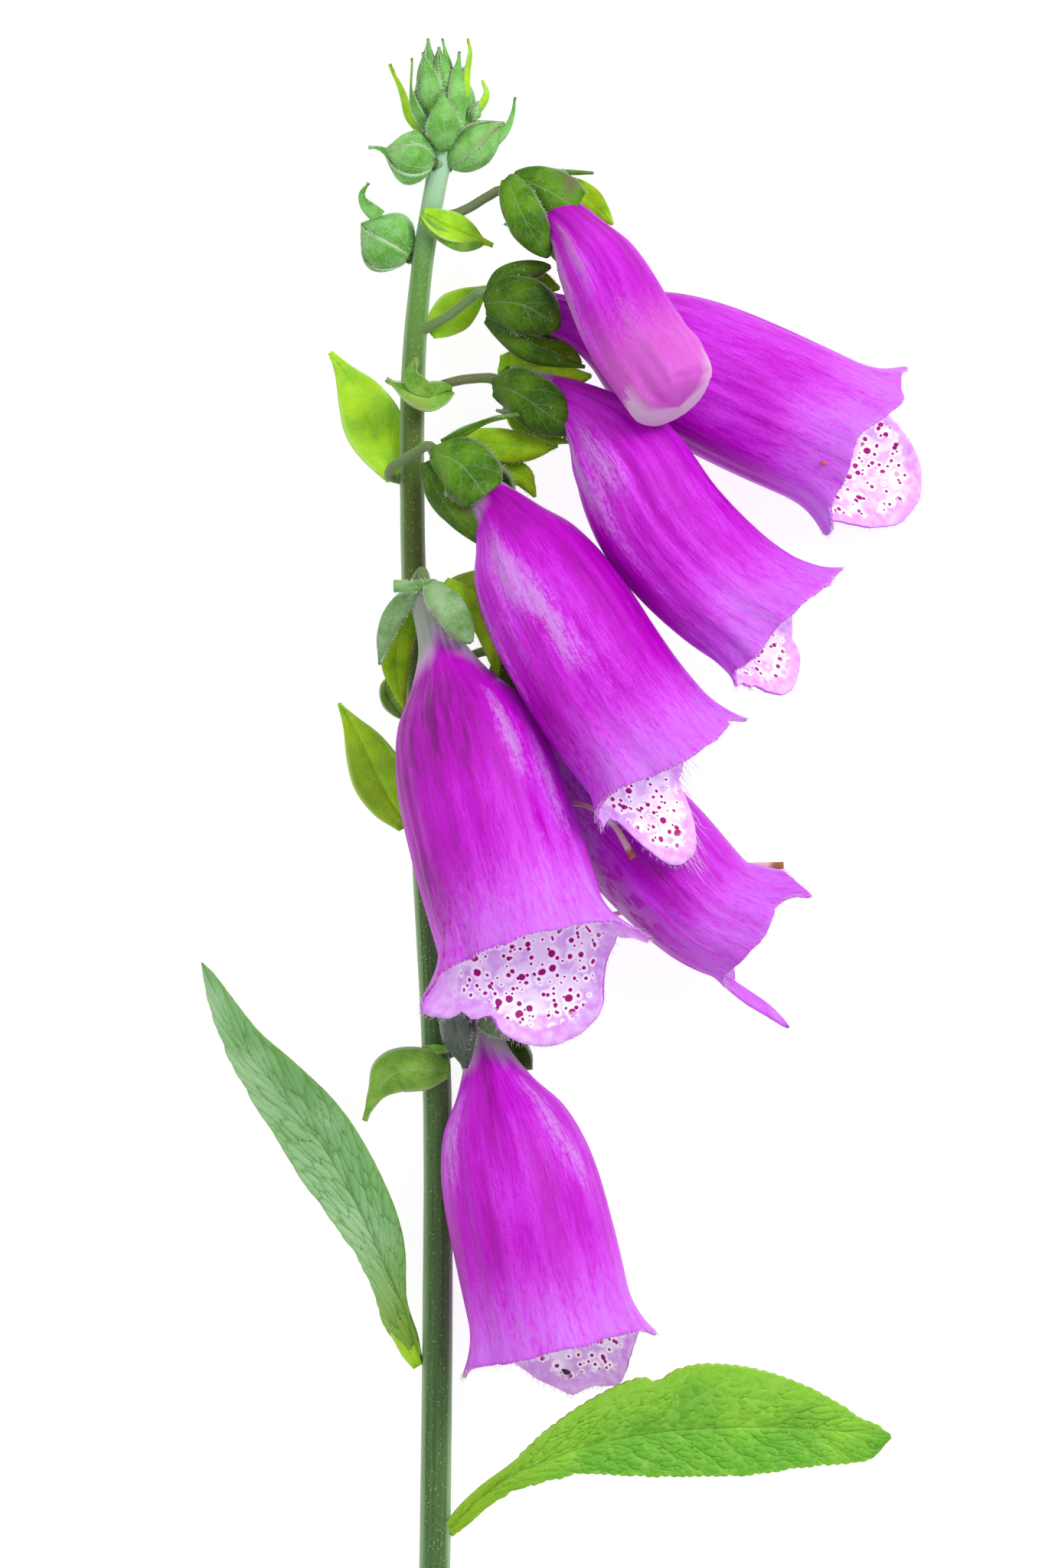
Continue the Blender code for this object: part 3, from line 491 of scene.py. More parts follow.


# The lining: purple in the throat, and a white lip with dark spots in white rings, on lilac clouds.
def liningColour(paint, bell, edge, broad):
    above, aside, distance = paint.split(bell)
    turn = paint.math("ARCTAN2", aside, 0 - above)
    around, along = lipSpots["size"]
    flat = paint.node("ShaderNodeCombineXYZ", {}, {0: turn * around, 1: distance * along})
    wobble = paint.cloud(flat, 1.3, 2.0)
    spots, rings = 0.0, 0.0
    for scale, shift in lipSpots["layers"]:
        moved = paint.node("ShaderNodeVectorMath", {"operation": "ADD"}, {0: flat, 1: (shift, shift, 0)})
        away = paint.cells(moved, scale, flat="2D") + (wobble - 0.5) * 0.16
        choice, size, _ = paint.split(paint.cells(moved, scale, "Color", flat="2D"))
        shown = paint.fade(choice, 0.44, 0.48)
        out = away - (lipSpots["radius"] + lipSpots["spread"] * size)
        spots = paint.math("MAXIMUM", spots, (1 - paint.fade(out, -0.03, 0.03)) * shown)
        rings = paint.math("MAXIMUM", rings, (1 - paint.fade(out, 0.10, lipSpots["ring"])) * shown)
    ragged = edge + (wobble - 0.5) * 3.0
    inField = paint.fade(ragged, 1.4, 2.4) * paint.fade(paint.math("ABSOLUTE", turn), *lipSpots["field"])
    clouds = paint.fade(paint.cloud(flat, 0.40, 3.0), 0.56, 0.42)
    rose = paint.mix(petalColours["rose"], petalColours["paleRose"],
                     paint.fade(wobble + edge * 0.02, 0.3, 0.75))
    lip = paint.mix(petalColours["lip"], rose, clouds * 0.9)
    lip = paint.mix(rose, lip, paint.fade(ragged, 0.8, 3.4) * (0.25 + 0.75 * inField))
    lip = paint.mix(lip, petalColours["ring"], rings * inField)
    lip = paint.mix(lip, petalColours["spot"], spots * inField)
    throat = paint.mix(petalColours["throat"], petalColours["paleThroat"], paint.fade(broad, 0.3, 0.7))
    return paint.mix(throat, lip, paint.fade(above, 0.25, -0.35)), wobble * 0.4


# The outside: purple with dark streaks, patches of painted sheen and of painted shade, paler at the rim and
# whitish below.
def skinColour(paint, bell, tone, grains, nearEdge, closed):
    pale, dark, edge = paint.split(tone)
    above, _, distance = paint.split(bell)
    broad, streak, vein, grain, crease = grains
    # The positive pale patches: painted sheen over the petal's own pale mottling. The neck's white is left
    # out.
    patch = paint.math("MAXIMUM", pale, 0.0)
    value = 0.47 + nearEdge * 0.30 + (broad - 0.5) * 0.4 + (streak - 0.5) * 0.6 + (vein - 0.5) * 0.6
    # Painted shade: the dark patches darken the purple, most along the petal's own streaks.
    value = value + (grain - 0.5) * 0.4 - dark * (0.09 + 0.26 * paint.fade(streak, 0.42, 0.62))
    value = value - paint.fade(vein * 0.6 + streak * 0.4, 0.54, 0.66) * 0.16 + patch * 0.14
    body = paint.ramp(value, petalColours["skin"])
    body = paint.mix(body, petalColours["rim"], nearEdge * paint.fade(crease, 0.3, 0.7) * 0.6)
    mottle = paint.drawn(bell, *petalGrain["mottle"])
    # Painted sheen: on the pale patches the colour turns to a pale sheen where the streaks and mottle rise.
    shine = streak * 0.2 + vein * 0.25 + mottle * 0.4 + grain * 0.15 + patch * 0.20
    body = paint.mix(body, petalColours["closedPaintedSheen" if closed else "paintedSheen"],
                     paint.fade(shine, 0.56, 0.78) * paint.fade(patch, 0.0, 0.8) * 0.8)
    # The belly's underside is whitish, and the spots inside show through it.
    show = paint.fade(paint.drawn(bell, *petalGrain["show"]), 0.44, 0.58)
    under = paint.mix(petalColours["under"], petalColours["underSpot"], show)
    body = paint.mix(body, under, paint.fade(above, -0.25, -0.85) * paint.fade(edge, 3.0, 12.0) * 0.6)
    if closed:
        tip = paint.mix(petalColours["tip"], petalColours["paleTip"], mottle)
        body = paint.mix(body, tip, paint.fade(distance + (mottle - 0.5) * 8.0, 90.0, 100.0) * 0.6)
        fold = paint.fade(edge + (crease - 0.5) * 5.0, 4.2, 2.4) * paint.fade(above, 0.75, 0.25)
        body = paint.mix(body, petalColours["fold"], fold * 0.8)
        dots = 1 - paint.fade(paint.cells(paint.stretch(bell, (5.0, 5.0, 1.3)), 1.0), 0.16, 0.26)
        body = paint.mix(body, petalColours["dot"], dots * paint.fade(patch, 0.3, 0.9) * 0.6)
    neckTone = paint.mix(petalColours["neck"], petalColours["neckEnd"], paint.fade(0 - pale, 1.0, 2.0))
    return paint.mix(body, neckTone, paint.fade(0 - pale + (streak - 0.5) * 0.5, 0.1, 1.5))


def petalPaint(name, inside, closed=False):
    paint = Paint(name, roughness=0.45, glow=0.12, glowColour=(1.0, 0.35, 0.9), gloss=0.2)
    bell, tone = paint.mark("mark"), paint.mark("tone")  # (cos, sin, distance), (pale: painted sheen less the neck's white, dark: painted shade, from the edge)
    _, _, edge = paint.split(tone)
    broad, streak, vein, grain, crease = [
        paint.drawn(bell, *petalGrain[key]) for key in ("broad", "streak", "vein", "grain", "crease")]
    if inside:
        body, wobble = liningColour(paint, bell, edge, broad)
        height = vein * 0.3 + grain * 0.2 + wobble
    else:
        nearEdge = paint.fade(edge, 13.0, 0.5) * (0.25 if closed else 1.0)
        body = skinColour(paint, bell, tone, (broad, streak, vein, grain, crease), nearEdge, closed)
        height = streak * 0.5 + vein * 0.5 + grain * 0.15 + crease * nearEdge * 0.8
    paint.set("Base Color", body)
    # Painted glow: the petal gives off its own colour as light.
    paint.set("Emission Color", body)
    paint.set("Emission Strength", petalLight["inside" if inside else "outside"])
    paint.set("Normal", paint.bump(height, 0.5, 0.3))
    return paint


petalOutside = petalPaint("petal outside", False)
petalInside = petalPaint("petal inside", True)
petalClosed = petalPaint("closed petal", False, True)


def lobeShare(lobe, degrees):
    middle, half, _, _, point = lobe
    if not point:
        return hump(degrees, middle, half)
    return max(0.0, 1 - turnFrom(degrees, middle) / half) ** point


def mouthReach(flower, degrees):
    away = abs(degrees)
    off = min(1.0, turnFrom(degrees, flower.get("middle", 180)) / flower["span"])
    reach = flower["lip"] * (1 - off**2) ** 0.8
    reach += flower["side"] * hump(away, 86, 44) + flower["brow"] * hump(away, 24, 40)
    return reach + sum(lobe[2] * lobeShare(lobe, degrees) for lobe in flower["lobes"])


def mouthFlare(flower, degrees):
    away = abs(degrees)
    flare = 0.5 + flower["flare"] * hump(away, 88, 50) + flower["brow"] * hump(away, 0, 60)
    flare += petal["lipRoll"] * hump(away, 180, 60)
    return flare + sum(lobe[3] * lobeShare(lobe, degrees) for lobe in flower["lobes"])


def tubeRadius(flower, length, s):
    neck, belly, base = flower["neck"], flower["belly"], petal["neckRadius"]
    swell, shoulder = belly - base, petal["shoulder"]
    stations = [(0, base), (neck - 1, base * 1.1), (neck + 0.3 * shoulder, base + 0.3 * swell),
                (neck + 0.65 * shoulder, base + 0.67 * swell), (neck + 1.15 * shoulder, base + 0.9 * swell),
                (neck + 1.9 * shoulder, belly), (length, flower["rim"] * belly)]
    return smoothValue(stations, s)


def patches(rows, degrees, s):
    return sum(strength * hump(degrees, middle, half) * max(0.0, 1 - ((s - distance) / reach) ** 2)
               for middle, distance, half, reach, strength in rows)


def bellLine(flower):
    return Line(smoothWay(flower["line"]), -flower["turn"])


def neckWhite(flower, s, ripple, side):
    back = flower["white"] - petal["whiteZone"] + petal["whiteSide"] * side - ripple
    return petal["white"] * (1 - climb(s, back, back + petal["whiteZone"]))


# What a petal's paint reads: pale patches of painted sheen less the white of the neck, dark patches of
# painted shade, and how far the edge is.
def petalTone(flower, degrees, s, ripple, side, toEdge):
    return (patches(flower["pale"], degrees, s) - neckWhite(flower, s, ripple, side),
            patches(flower["dark"], degrees, s), toEdge)


def corolla(key, flower):
    line = bellLine(flower)
    seed = 10.0 * int(key)

    def place(u, t):
        degrees, phi = u * 180, math.pi * u
        cos, sin = math.cos(phi), math.sin(phi)
        ripple = wave(3 * cos, 3 * sin, seed)
        end = line.length + mouthReach(flower, degrees) + petal["ruffle"] * ripple
        end += petal["nick"] * wave(13 * cos, 13 * sin, seed)
        s = petal["start"] + (end - petal["start"]) * t
        radius = tubeRadius(flower, line.length, min(s, line.length))
        low = (1 - cos) / 2
        radius *= 1 + petal["sag"] * low * math.sin(math.pi * min(s / line.length, 1.0)) ** 2
        near = max(0.0, 1 - (end - s) / petal["rimZone"]) ** 2
        curl = wave(4 * cos, 4 * sin, seed + 5) + 0.5 * wave(9 * cos, 9 * sin, seed)
        radius += (mouthFlare(flower, degrees) + petal["ruffle"] * curl) * near
        ribs = wave(6 * cos, 6 * sin, seed + 0.03 * s) + 0.4 * wave(15 * cos, 15 * sin, 0.05 * s)
        radius += petal["ribs"] * ribs * min(1.0, s / petal["ribZone"])
        for middle, depth in petal["folds"]:
            fold = hump(abs(degrees), middle, petal["foldHalf"])
            radius += depth * fold * max(0.0, 1 - (end - s) / petal["foldZone"])
        tone = petalTone(flower, degrees, s, 0.8 * ripple, abs(sin), end - s)
        return onTable(line.out(s, phi, radius)), (cos, sin, s + seed), tone

    bell = Tissue()
    bell.sheet(petal["around"], petal["along"], place, wrap=True)
    lining = petalOutside if flower["lip"] < 2 else petalInside
    bell.make(f"bell_{key}", [petalOutside, lining], [f"corolla_{key}"], petal["wall"],
              innerSkin=1)
    return bell


bells = {key: corolla(key, flower) for key, flower in flowers.items()}


closedShape = {
    "around": 96, "along": 84, "crowding": 1.8, "seed": 70,
    "closing": [(0.72, 1), (0.9, 0.96), (0.965, 0.86), (0.99, 0.6), (1, 0)],
    "foldFrom": 0.7, "oval": 0.10, "dents": [(36, 18, 0.16), (-50, 14, 0.12)],
    "flap": 0.4, "flapEdge": 0.965, "crumple": 0.5, "crumpleFrom": 0.88,
}


def closedBell(flower):
    line = bellLine(flower)
    start = petal["start"]
    length = line.length - start

    def place(u, t):
        degrees, phi = u * 180, math.pi * u
        cos, sin = math.cos(phi), math.sin(phi)
        t = 1 - (1 - t) ** closedShape["crowding"]
        s = start + length * t
        radius = tubeRadius(flower, line.length, s)
        if t > closedShape["closing"][0][0]:
            radius = flower["belly"] * smoothValue(closedShape["closing"], t)
        fold = climb(t, closedShape["foldFrom"], 1)
        (*dent, depth), (*sideDent, sideDepth) = closedShape["dents"]
        oval = closedShape["oval"] * math.cos(2 * phi + 0.6)
        radius *= 1 + (oval - depth * hump(degrees, *dent)) * fold
        radius *= 1 - sideDepth * hump(degrees, *sideDent) * fold
        flapEnd = closedShape["flapEdge"] + 0.02 * wave(5 * sin, 5 * cos)
        flap = climb(degrees, 10, 5) * climb(degrees, -120, -90)
        radius += closedShape["flap"] * flap * climb(t, 0.78, 0.84) * climb(t, flapEnd, flapEnd - 0.01)
        ribs = wave(6 * cos, 6 * sin, 0.05 * s) * climb(s, 0, petal["ribZone"]) * climb(1 - t, 0, 1 / 6)
        radius += petal["ribs"] * ribs
        crumple = wave(5 * cos, 5 * sin, s) * climb(t, closedShape["crumpleFrom"], 1) * (1 - t) * 8
        radius += closedShape["crumple"] * crumple
        tone = petalTone(flower, degrees, s, 0, abs(sin), length * (1 - t))
        return onTable(line.out(s, phi, radius)), (cos, sin, s + closedShape["seed"]), tone

    bell = Tissue()
    bell.sheet(closedShape["around"], closedShape["along"], place, wrap=True)
    bell.make("bell_7", [petalClosed], ["corolla_7"])


closedBell(closedFlower)


print("sepals")

sepalShape = {
    "start": 0.8, "length": 10.5, "half": 4.1, "wall": 0.3, "lap": 0.66, "puff": 0.25, "ripple": 0.12,
    "offPetal": 1.06, "offTable": 0.3, "across": 16, "along": 24,
    "rows": [(0, 0.42, 0.9), (68, 1.0, 1.0), (142, 1.0, 1.1), (218, 1.0, 1.1), (292, 1.0, 0.95)],
    "outline": [(0, 0.55), (0.2, 0.84), (0.42, 1.0), (0.64, 0.9), (0.84, 0.54), (1, 0.04)],
    "cup": [(0, 0.9), (0.7, 1.9), (1.8, 3.0), (4, 3.8), (7, 3.8), (10, 3.5), (12, 3.3)],
    "cushion": [(0, 0.55), (0.05, 0.8), (0.5, 1.6), (1.1, 2.2), (1.2, 0.2)],
}
domeShape = {"across": 16, "along": 26, "rib": 0.10, "ribHalf": 0.12, "dimple": 0.22, "edge": 0.04,
             "bow": 1.25}
outlines = {
    "round": [(0, 0.4), (0.1, 0.66), (0.28, 0.94), (0.48, 1.0), (0.68, 0.95), (0.84, 0.74), (0.94, 0.44),
              (1, 0.06)],
    "pointed": [(0, 0.5), (0.2, 0.84), (0.42, 1.0), (0.64, 0.86), (0.84, 0.45), (1, 0.03)],
    "strap": [(0, 1.0), (0.3, 0.9), (0.6, 0.5), (0.85, 0.25), (1, 0.06)],
    "cut": [(0, 0.9), (0.5, 0.85), (0.95, 1.0), (1, 0.95)],
    "bract": [(0, 0.35), (0.2, 0.8), (0.42, 1.0), (0.65, 0.75), (0.85, 0.3), (1, 0.03)],
    "fan": [(0, 0.2), (0.15, 0.6), (0.4, 0.92), (0.7, 1.0), (0.88, 0.94), (1, 0.74)],
    "horn": [(0, 0.6), (0.18, 1.0), (0.38, 0.85), (0.6, 0.36), (0.8, 0.2), (1, 0.05)],
    "hooded": [(0, 0.3), (0.15, 0.85), (0.4, 1.0), (0.58, 0.9), (0.72, 0.42), (0.84, 0.22), (1, 0.06)],
}
# The sepals that show best, each by the way of its rib: way, half width, tilt, hollow, outline and colour.
# cup lists the ones of the five that stay as in the solids.
sepals = {
    "1": {"cup": [2, 3], "blades": [
        ([(1.8, 69.5, 11.6), (2.5, 66.4, 12.6), (3.1, 63.8, 13), (3.6, 61.6, 12.8)],
         2.1, 20, 0.3, "pointed", 3),
        ([(4.4, 68.8, 10.8), (6, 67, 11.4), (7.3, 65.8, 11.4), (8.4, 64.7, 11)],
         1.25, -20, 0.4, "pointed", 2),
        ([(3.4, 69, 11.4), (4.2, 67.2, 11.6), (4.7, 66.2, 11.4)], 0.7, 0, 0.3, "pointed", 1)]},
    "2": {"cup": [], "blades": [
        ([(-0.3, 115.3, 17.6), (1.4, 113.2, 20.1), (2.9, 111.2, 20.6), (4.3, 108.6, 19.6)],
         1.9, -25, 0.35, "round", 2),
        ([(1.2, 115.2, 16.2), (4.8, 112.6, 17), (6.6, 109, 16.6), (7.1, 104.6, 16)],
         1.5, -10, 0.4, "pointed", 4),
        ([(-1.6, 114.8, 16), (-4.2, 112.2, 15), (-5.4, 109.5, 14), (-5.9, 106.3, 13)],
         1.25, 25, 0.4, "pointed", 2),
        ([(-2.4, 113.6, 12), (-3.9, 108.9, 10), (-4.1, 105.3, 9), (-3.3, 101.4, 9)],
         1.7, 0, 0.2, "pointed", 4),
        ([(-0.2, 114.9, 17.5), (-2.4, 114.8, 17.6), (-4.3, 114.8, 17.4)], 0.62, 0, 0.3, "cut", 2)]},
    "3": {"cup": [0, 1, 2, 3, 4], "blades": []},
    "4": {"cup": [4], "blades": [
        ([(-0.1, 129.7, 16), (2.4, 128.6, 18.8), (4.1, 127.1, 19.9), (5.8, 124.8, 19.2)],
         3.35, 0, 0.4, "fan", 1),
        ([(-0.9, 128.5, 15), (0.6, 125.1, 16.8), (2.8, 122.4, 17), (6, 119, 16.6)],
         1.8, 25, 0.5, "pointed", 0),
        ([(3, 131.2, 12), (7.6, 130.6, 12), (10.7, 130.3, 12), (13.8, 130.5, 12)],
         1.8, 0, 0.2, "pointed", 4),
        ([(5, 129, 10), (9.4, 127.5, 10), (10.5, 126.3, 10), (11.3, 124.9, 10)], 1.4, 0, 0.2, "pointed", 4),
        ([(1.1, 130.5, 16), (3.7, 132, 16), (6.4, 133.2, 16.2), (9.4, 133.7, 16.5)],
         0.6, 30, 0.3, "strap", 1)]},
    "5": {"cup": [3, 4], "blades": [
        ([(6.6, 137.2, 11.5), (9.2, 136.3, 14.8), (12.4, 134.1, 15.9), (15.8, 131.9, 14.6)],
         2.85, 10, 0.45, "round", 0),
        ([(7.3, 139.4, 10), (10.8, 139.2, 11.8), (14.2, 138, 12.6), (17.5, 138.2, 13)],
         2.3, 0, 0.3, "pointed", 4),
        ([(8.2, 135.2, 9), (9.7, 133, 8.5), (11.9, 131.8, 8.5), (15, 131, 9)],
         0.95, 0, 0.3, "pointed", 4)]},
    "6": {"cup": [3], "blades": [
        ([(5.7, 146.3, 12), (8.4, 146.2, 15), (11, 145.4, 15.8), (13.9, 143.4, 14.6)],
         3.15, 0, 0.45, "round", 0),
        ([(6, 147.2, 12), (7.8, 149.3, 13), (10.1, 150, 13.2), (13, 150.3, 13)],
         1.15, -20, 0.4, "round", 0),
        ([(8.6, 149, 10), (11, 148.8, 10.5), (14, 148, 11)], 1.5, 0, 0.2, "pointed", 4),
        ([(5.9, 144.7, 10.4), (7.5, 143.1, 12.6), (10.1, 141, 13.4), (13.4, 139.9, 13),
          (16.8, 139.2, 12.4)],
         1.05, 20, 0.4, "pointed", 0),
        ([(10, 143.4, 8), (13.4, 142, 8), (16.4, 139.8, 8.4)], 1.7, 0, 0.2, "pointed", 4)]},
    "7": {"cup": [3], "blades": [
        ([(8.3, 160.1, 14.6), (9.1, 157.6, 16.8), (10.5, 154.6, 17.4), (12.7, 151.2, 15)],
         2.1, 10, 0.45, "round", 1),
        ([(8.8, 160.4, 12.6), (11.3, 159.2, 15), (13.6, 158, 16.2), (15.9, 156.6, 16)],
         2.65, 0, 0.45, "fan", 1),
        ([(9.5, 160.6, 11), (11.6, 160.9, 11), (14.7, 160.9, 11), (17.8, 160.8, 11)],
         0.5, 0, 0.3, "strap", 1),
        ([(11.5, 159.8, 10), (16.2, 158.4, 9.6), (18.3, 156.9, 10), (19.9, 155.1, 10.5)],
         1.7, 0, 0.2, "pointed", 4)]},
    "spent_1": {"cup": [0, 1, 2, 3, 4], "blades": []},
    "spent_2": {"cup": [0, 1, 2, 3, 4], "blades": []},
}
spent = {
    "1": {"base": (1.6, 92.2, 4.3), "ahead": (0.96, 0.1, 0.2), "turn": 0,
          "roll": 0, "calyx": 0.66, "open": 0,
          "style": [(9.2, 92.2, 7.2), (11.6, 91.2, 10.2), (13.2, 91, 12), (14.6, 90.9, 13.7), (17, 90.6, 16),
                    (19.8, 88.7, 17.3), (22.1, 84.9, 17.1)]},
    "2": {"base": (3.4, 78.4, 4.4), "ahead": (1, 0, -0.08), "turn": 180,
          "roll": 0, "calyx": 0.66, "open": 0,
          "style": [(13, 77.8, 2.4), (20, 78.4, 0.9), (27.5, 80.6, 0.5), (34, 83.6, 0.5), (39.2, 83.9, 0.9)]},
}


greenGlow = {"glow": 0.12, "glowColour": (0.5, 1.0, 0.2)}
hairSpeck = (0.55, 0.64, 0.45)


def greenPaint(name, deep, light, margin, stain, roughness=0.5, gloss=0.12):
    paint = Paint(name, roughness=roughness, gloss=gloss, **greenGlow)
    place, size = paint.mark("mark"), paint.mark("tone")  # (across, along, number), and in millimetres
    across, along, _ = paint.split(place)
    away = paint.math("ABSOLUTE", across)
    mottle = paint.cloud(size, 0.35, 4.0)
    fine = paint.cloud(size, 4.0, 4.0, 0.6)
    body = paint.mix(deep, light, paint.fade(mottle + (fine - 0.5) * 0.25, 0.34, 0.7))
    rib = 1 - paint.fade(away, 0.0, 0.05)
    sideVein = paint.fade(paint.math("SINE", (along - away * 0.5) * 26.0), 0.93, 1.0)
    net = 1 - paint.fade(paint.cells(size, 1.5, feature="DISTANCE_TO_EDGE"), 0.0, 0.10)
    veins = rib * 0.6 + sideVein * 0.4 + net * 0.25
    body = paint.mix(body, margin, veins * 0.42)
    body = paint.mix(body, margin, paint.fade(away, 0.80, 1.0) * 0.75)
    age = mottle * 0.6 + paint.cloud(size, 0.22, 2.0) * 0.5 + away * 0.2 + along * 0.12
    body = paint.mix(body, stain, paint.fade(age, 0.76, 0.94) * 0.6)
    speck = 1 - paint.fade(paint.cells(size, 0.8), 0.03, 0.08)
    body = paint.mix(body, hairSpeck, speck * 0.5)
    paint.set("Base Color", body)
    paint.set("Normal", paint.bump(fine * 0.5 - veins * 0.7 + mottle * 0.5, 0.45, 0.3))
    return paint


# Olive, fresh green, downy grey-green, glossy dark green and the yellow-green of a blade in full light.
greens = [
    greenPaint("olive sepal", (0.026, 0.085, 0.0), (0.075, 0.175, 0.0), (0.26, 0.36, 0.20),
               (0.09, 0.04, 0.03)),
    greenPaint("green sepal", (0.040, 0.13, 0.0), (0.11, 0.27, 0.006), (0.32, 0.45, 0.27),
               (0.14, 0.06, 0.07)),
    greenPaint("downy sepal", (0.11, 0.25, 0.06), (0.26, 0.43, 0.20), (0.50, 0.60, 0.46), (0.20, 0.16, 0.10)),
    greenPaint("glossy sepal", (0.004, 0.016, 0.006), (0.012, 0.04, 0.014), (0.16, 0.24, 0.14),
               (0.01, 0.02, 0.01), 0.18, 0.9),
    greenPaint("sunlit sepal", (0.16, 0.36, 0.0), (0.34, 0.58, 0.008), (0.36, 0.52, 0.12), (0.13, 0.17, 0.0)),
]


def calyxRadius(flower, line, s):
    radius = smoothValue(sepalShape["cup"], s) * flower["calyx"] + flower["open"] * (s / 10) ** 2
    if "belly" in flower:
        radius = max(radius, tubeRadius(flower, line.length, s) + sepalShape["offPetal"])
    return radius


def domed(tissue, row, number, cells=(domeShape["across"], domeShape["along"]), up=(0, 0, 1)):
    points, half, tilt, hollow, outline, skin = row
    line = Line(smoothWay(points), tilt, up)

    def place(u, t):
        centre, _, rise, side = line.at(t * line.length)
        wide = half * smoothValue(outlines[outline], t)
        wide *= 1 + domeShape["edge"] * wave(t * 6, number * 2.3 + (u > 0))
        rib = domeShape["rib"] * max(0.0, 1 - abs(u) / domeShape["ribHalf"]) * (1 - t)
        dimple = domeShape["dimple"] * half**0.5 * wave(u * 1.3 + number, t * 2.6, number)
        tucked = side * wide * math.sin(domeShape["bow"] * u) / math.sin(domeShape["bow"])
        spot = centre + tucked + rise * (dimple - hollow * wide * u * u - rib)
        return (onTable(spot, sepalShape["offTable"]), (u, t, number),
                (u * wide + number * 7, t * line.length, 0))

    tissue.sheet(*cells, place, skin=skin)


def cushion(tissue, line, calyxSize):  # what the sepals grow from
    profile = sepalShape["cushion"]
    height = profile[-1][0]
    size = 0.9 * min(1.0, calyxSize + 0.1)
    body = Line([line.at(0)[0], line.at(height)[0]])
    tissue.tube(body, lambda t, a: smoothValue(profile, t * height) * size, 20, 8,
                lambda t, a: ((0.5, t, 9), (a * 3, t, 0)))


def calyx(name, nodes, flower, line, choice):
    cup = Tissue()
    for number in choice["cup"]:
        angle, width, length = sepalShape["rows"][number]
        turned = math.radians(angle + flower["roll"])

        def place(u, t):
            s = sepalShape["start"] + sepalShape["length"] * length * flower["calyx"] * t
            radius = calyxRadius(flower, line, s)
            radius += flower.get("shift", 0) * max(0.0, math.sin(turned)) * s / 10
            half = sepalShape["half"] * width * flower["calyx"] * smoothValue(sepalShape["outline"], t)
            lap = sepalShape["lap"] * u * min(1.0, 0.5 + 2 * t)
            puff = sepalShape["puff"] * math.sin(math.pi * min(1.0, t * 1.1)) * (1 - u * u) * width
            ripple = sepalShape["ripple"] * wave(u * 2.3 + number, t * 3.1, number)
            out = radius + lap + 0.2 + puff + ripple
            spot = line.out(s, turned + u * min(0.9, half / radius), out)
            return (onTable(spot, sepalShape["offTable"]), (u, t, number),
                    (u * half + number * 7, t * sepalShape["length"], 0))

        cup.sheet(sepalShape["across"], sepalShape["along"], place, skin=number % 2)
    for number, row in enumerate(choice["blades"]):
        domed(cup, row, number + 5)
    cushion(cup, line, flower["calyx"])
    cup.make(name, greens, nodes, sepalShape["wall"], 0)
    return cup


def spentLine(row):
    base, ahead = Vector(row["base"]), Vector(row["ahead"]).normalized()
    return Line([base, base + ahead * 10], row["turn"])


calyces = {key: calyx(f"sepals_{key}", [f"calyx_{key}"], flower, bellLine(flower), sepals[key])
           for key, flower in list(flowers.items()) + [("7", closedFlower)]}
for key, flower in spent.items():
    name = "spent_" + key
    calyces[name] = calyx("sepals_" + name, ["calyx_" + name], flower, spentLine(flower), sepals[name])


print("bracts and leaves")

bractShape = {"wall": 0.3, "lift": 0.2, "rib": 0.12, "ribHalf": 0.1, "ripple": 0.25, "bow": 0.12,
              "across": 18, "along": 34}
bracts = {  # way of the rib, half width, tilt, fold and colour: 0 for the green lit through from behind, 1 for the copy in painted shade
    "bract_1": ([(1.6, 61.2, 7), (-0.8, 61.3, 8.4), (-4.2, 61, 8.4), (-6.4, 58.6, 7), (-7.6, 55.6, 6)],
                2.4, 0, -0.35, 1),
    "bract_spent_2": ([(1.6, 72.8, 2.2), (5.4, 72.4, 1.1), (10.2, 72.4, 0.6)], 1.9, 0, 0.2, 0),
    "bract_spent_1": ([(-3, 88.2, 4.2), (-5.2, 91.6, 3.4), (-8, 97.4, 3.4), (-10.6, 102.1, 4)],
                      3.1, 10, 0.3, 0),
    "bract_3": ([(-3.5, 100.4, 5), (-4.9, 102, 5.2), (-5.6, 104, 5.8), (-5, 105.2, 6.2)], 1.1, 20, 0.5, 1),
    "bract_2": ([(0, 112, 4.6), (3.6, 114, 3.6), (8, 117.6, 4)], 2.6, 0, 0.3, 0),
    "bract_4": ([(-4.2, 127, 4.8), (-6, 131, 4.2), (-8.4, 136.2, 4.4), (-11.6, 141.2, 5.4)],
                3.4, 12, 0.3, 0),
    "bract_5": ([(1.7, 136.8, 8.4), (-0.6, 136, 10.4), (-2.6, 136.5, 11.4), (-5.2, 137.9, 11.6)],
                1.7, 0, 0.4, 1),
    "bract_6": ([(-0.5, 143.3, 5.4), (2.7, 146, 4.8), (6.4, 148.6, 4.4)], 2.3, 0, 0.3, 0),
    "bract_7": ([(-1.2, 156.4, 8.6), (0.8, 155.2, 9), (3, 154.3, 9), (6.5, 152.8, 8.6)], 1.8, -20, 0.4, 0),
}
moreBlades = {  # folded parts of the same bracts
    "bract_1": ([(-1.2, 63.4, 6.6), (0.7, 63.5, 7.4), (2.4, 63.5, 7)], 0.55, 0, 0.2, "strap", 1),
    "bract_5": ([(-0.2, 136.4, 10.8), (-1.9, 137.4, 12.2), (-2.4, 138.6, 12.8), (-1.9, 140.2, 12.8)],
                0.95, 0, 0.3, "pointed", 1),
    "bract_7": ([(-1.4, 156, 9.2), (0.6, 154.3, 9.8), (3.2, 152.8, 9.8), (5.4, 153, 9.4)],
                0.6, 10, 0.3, "round", 1),
}
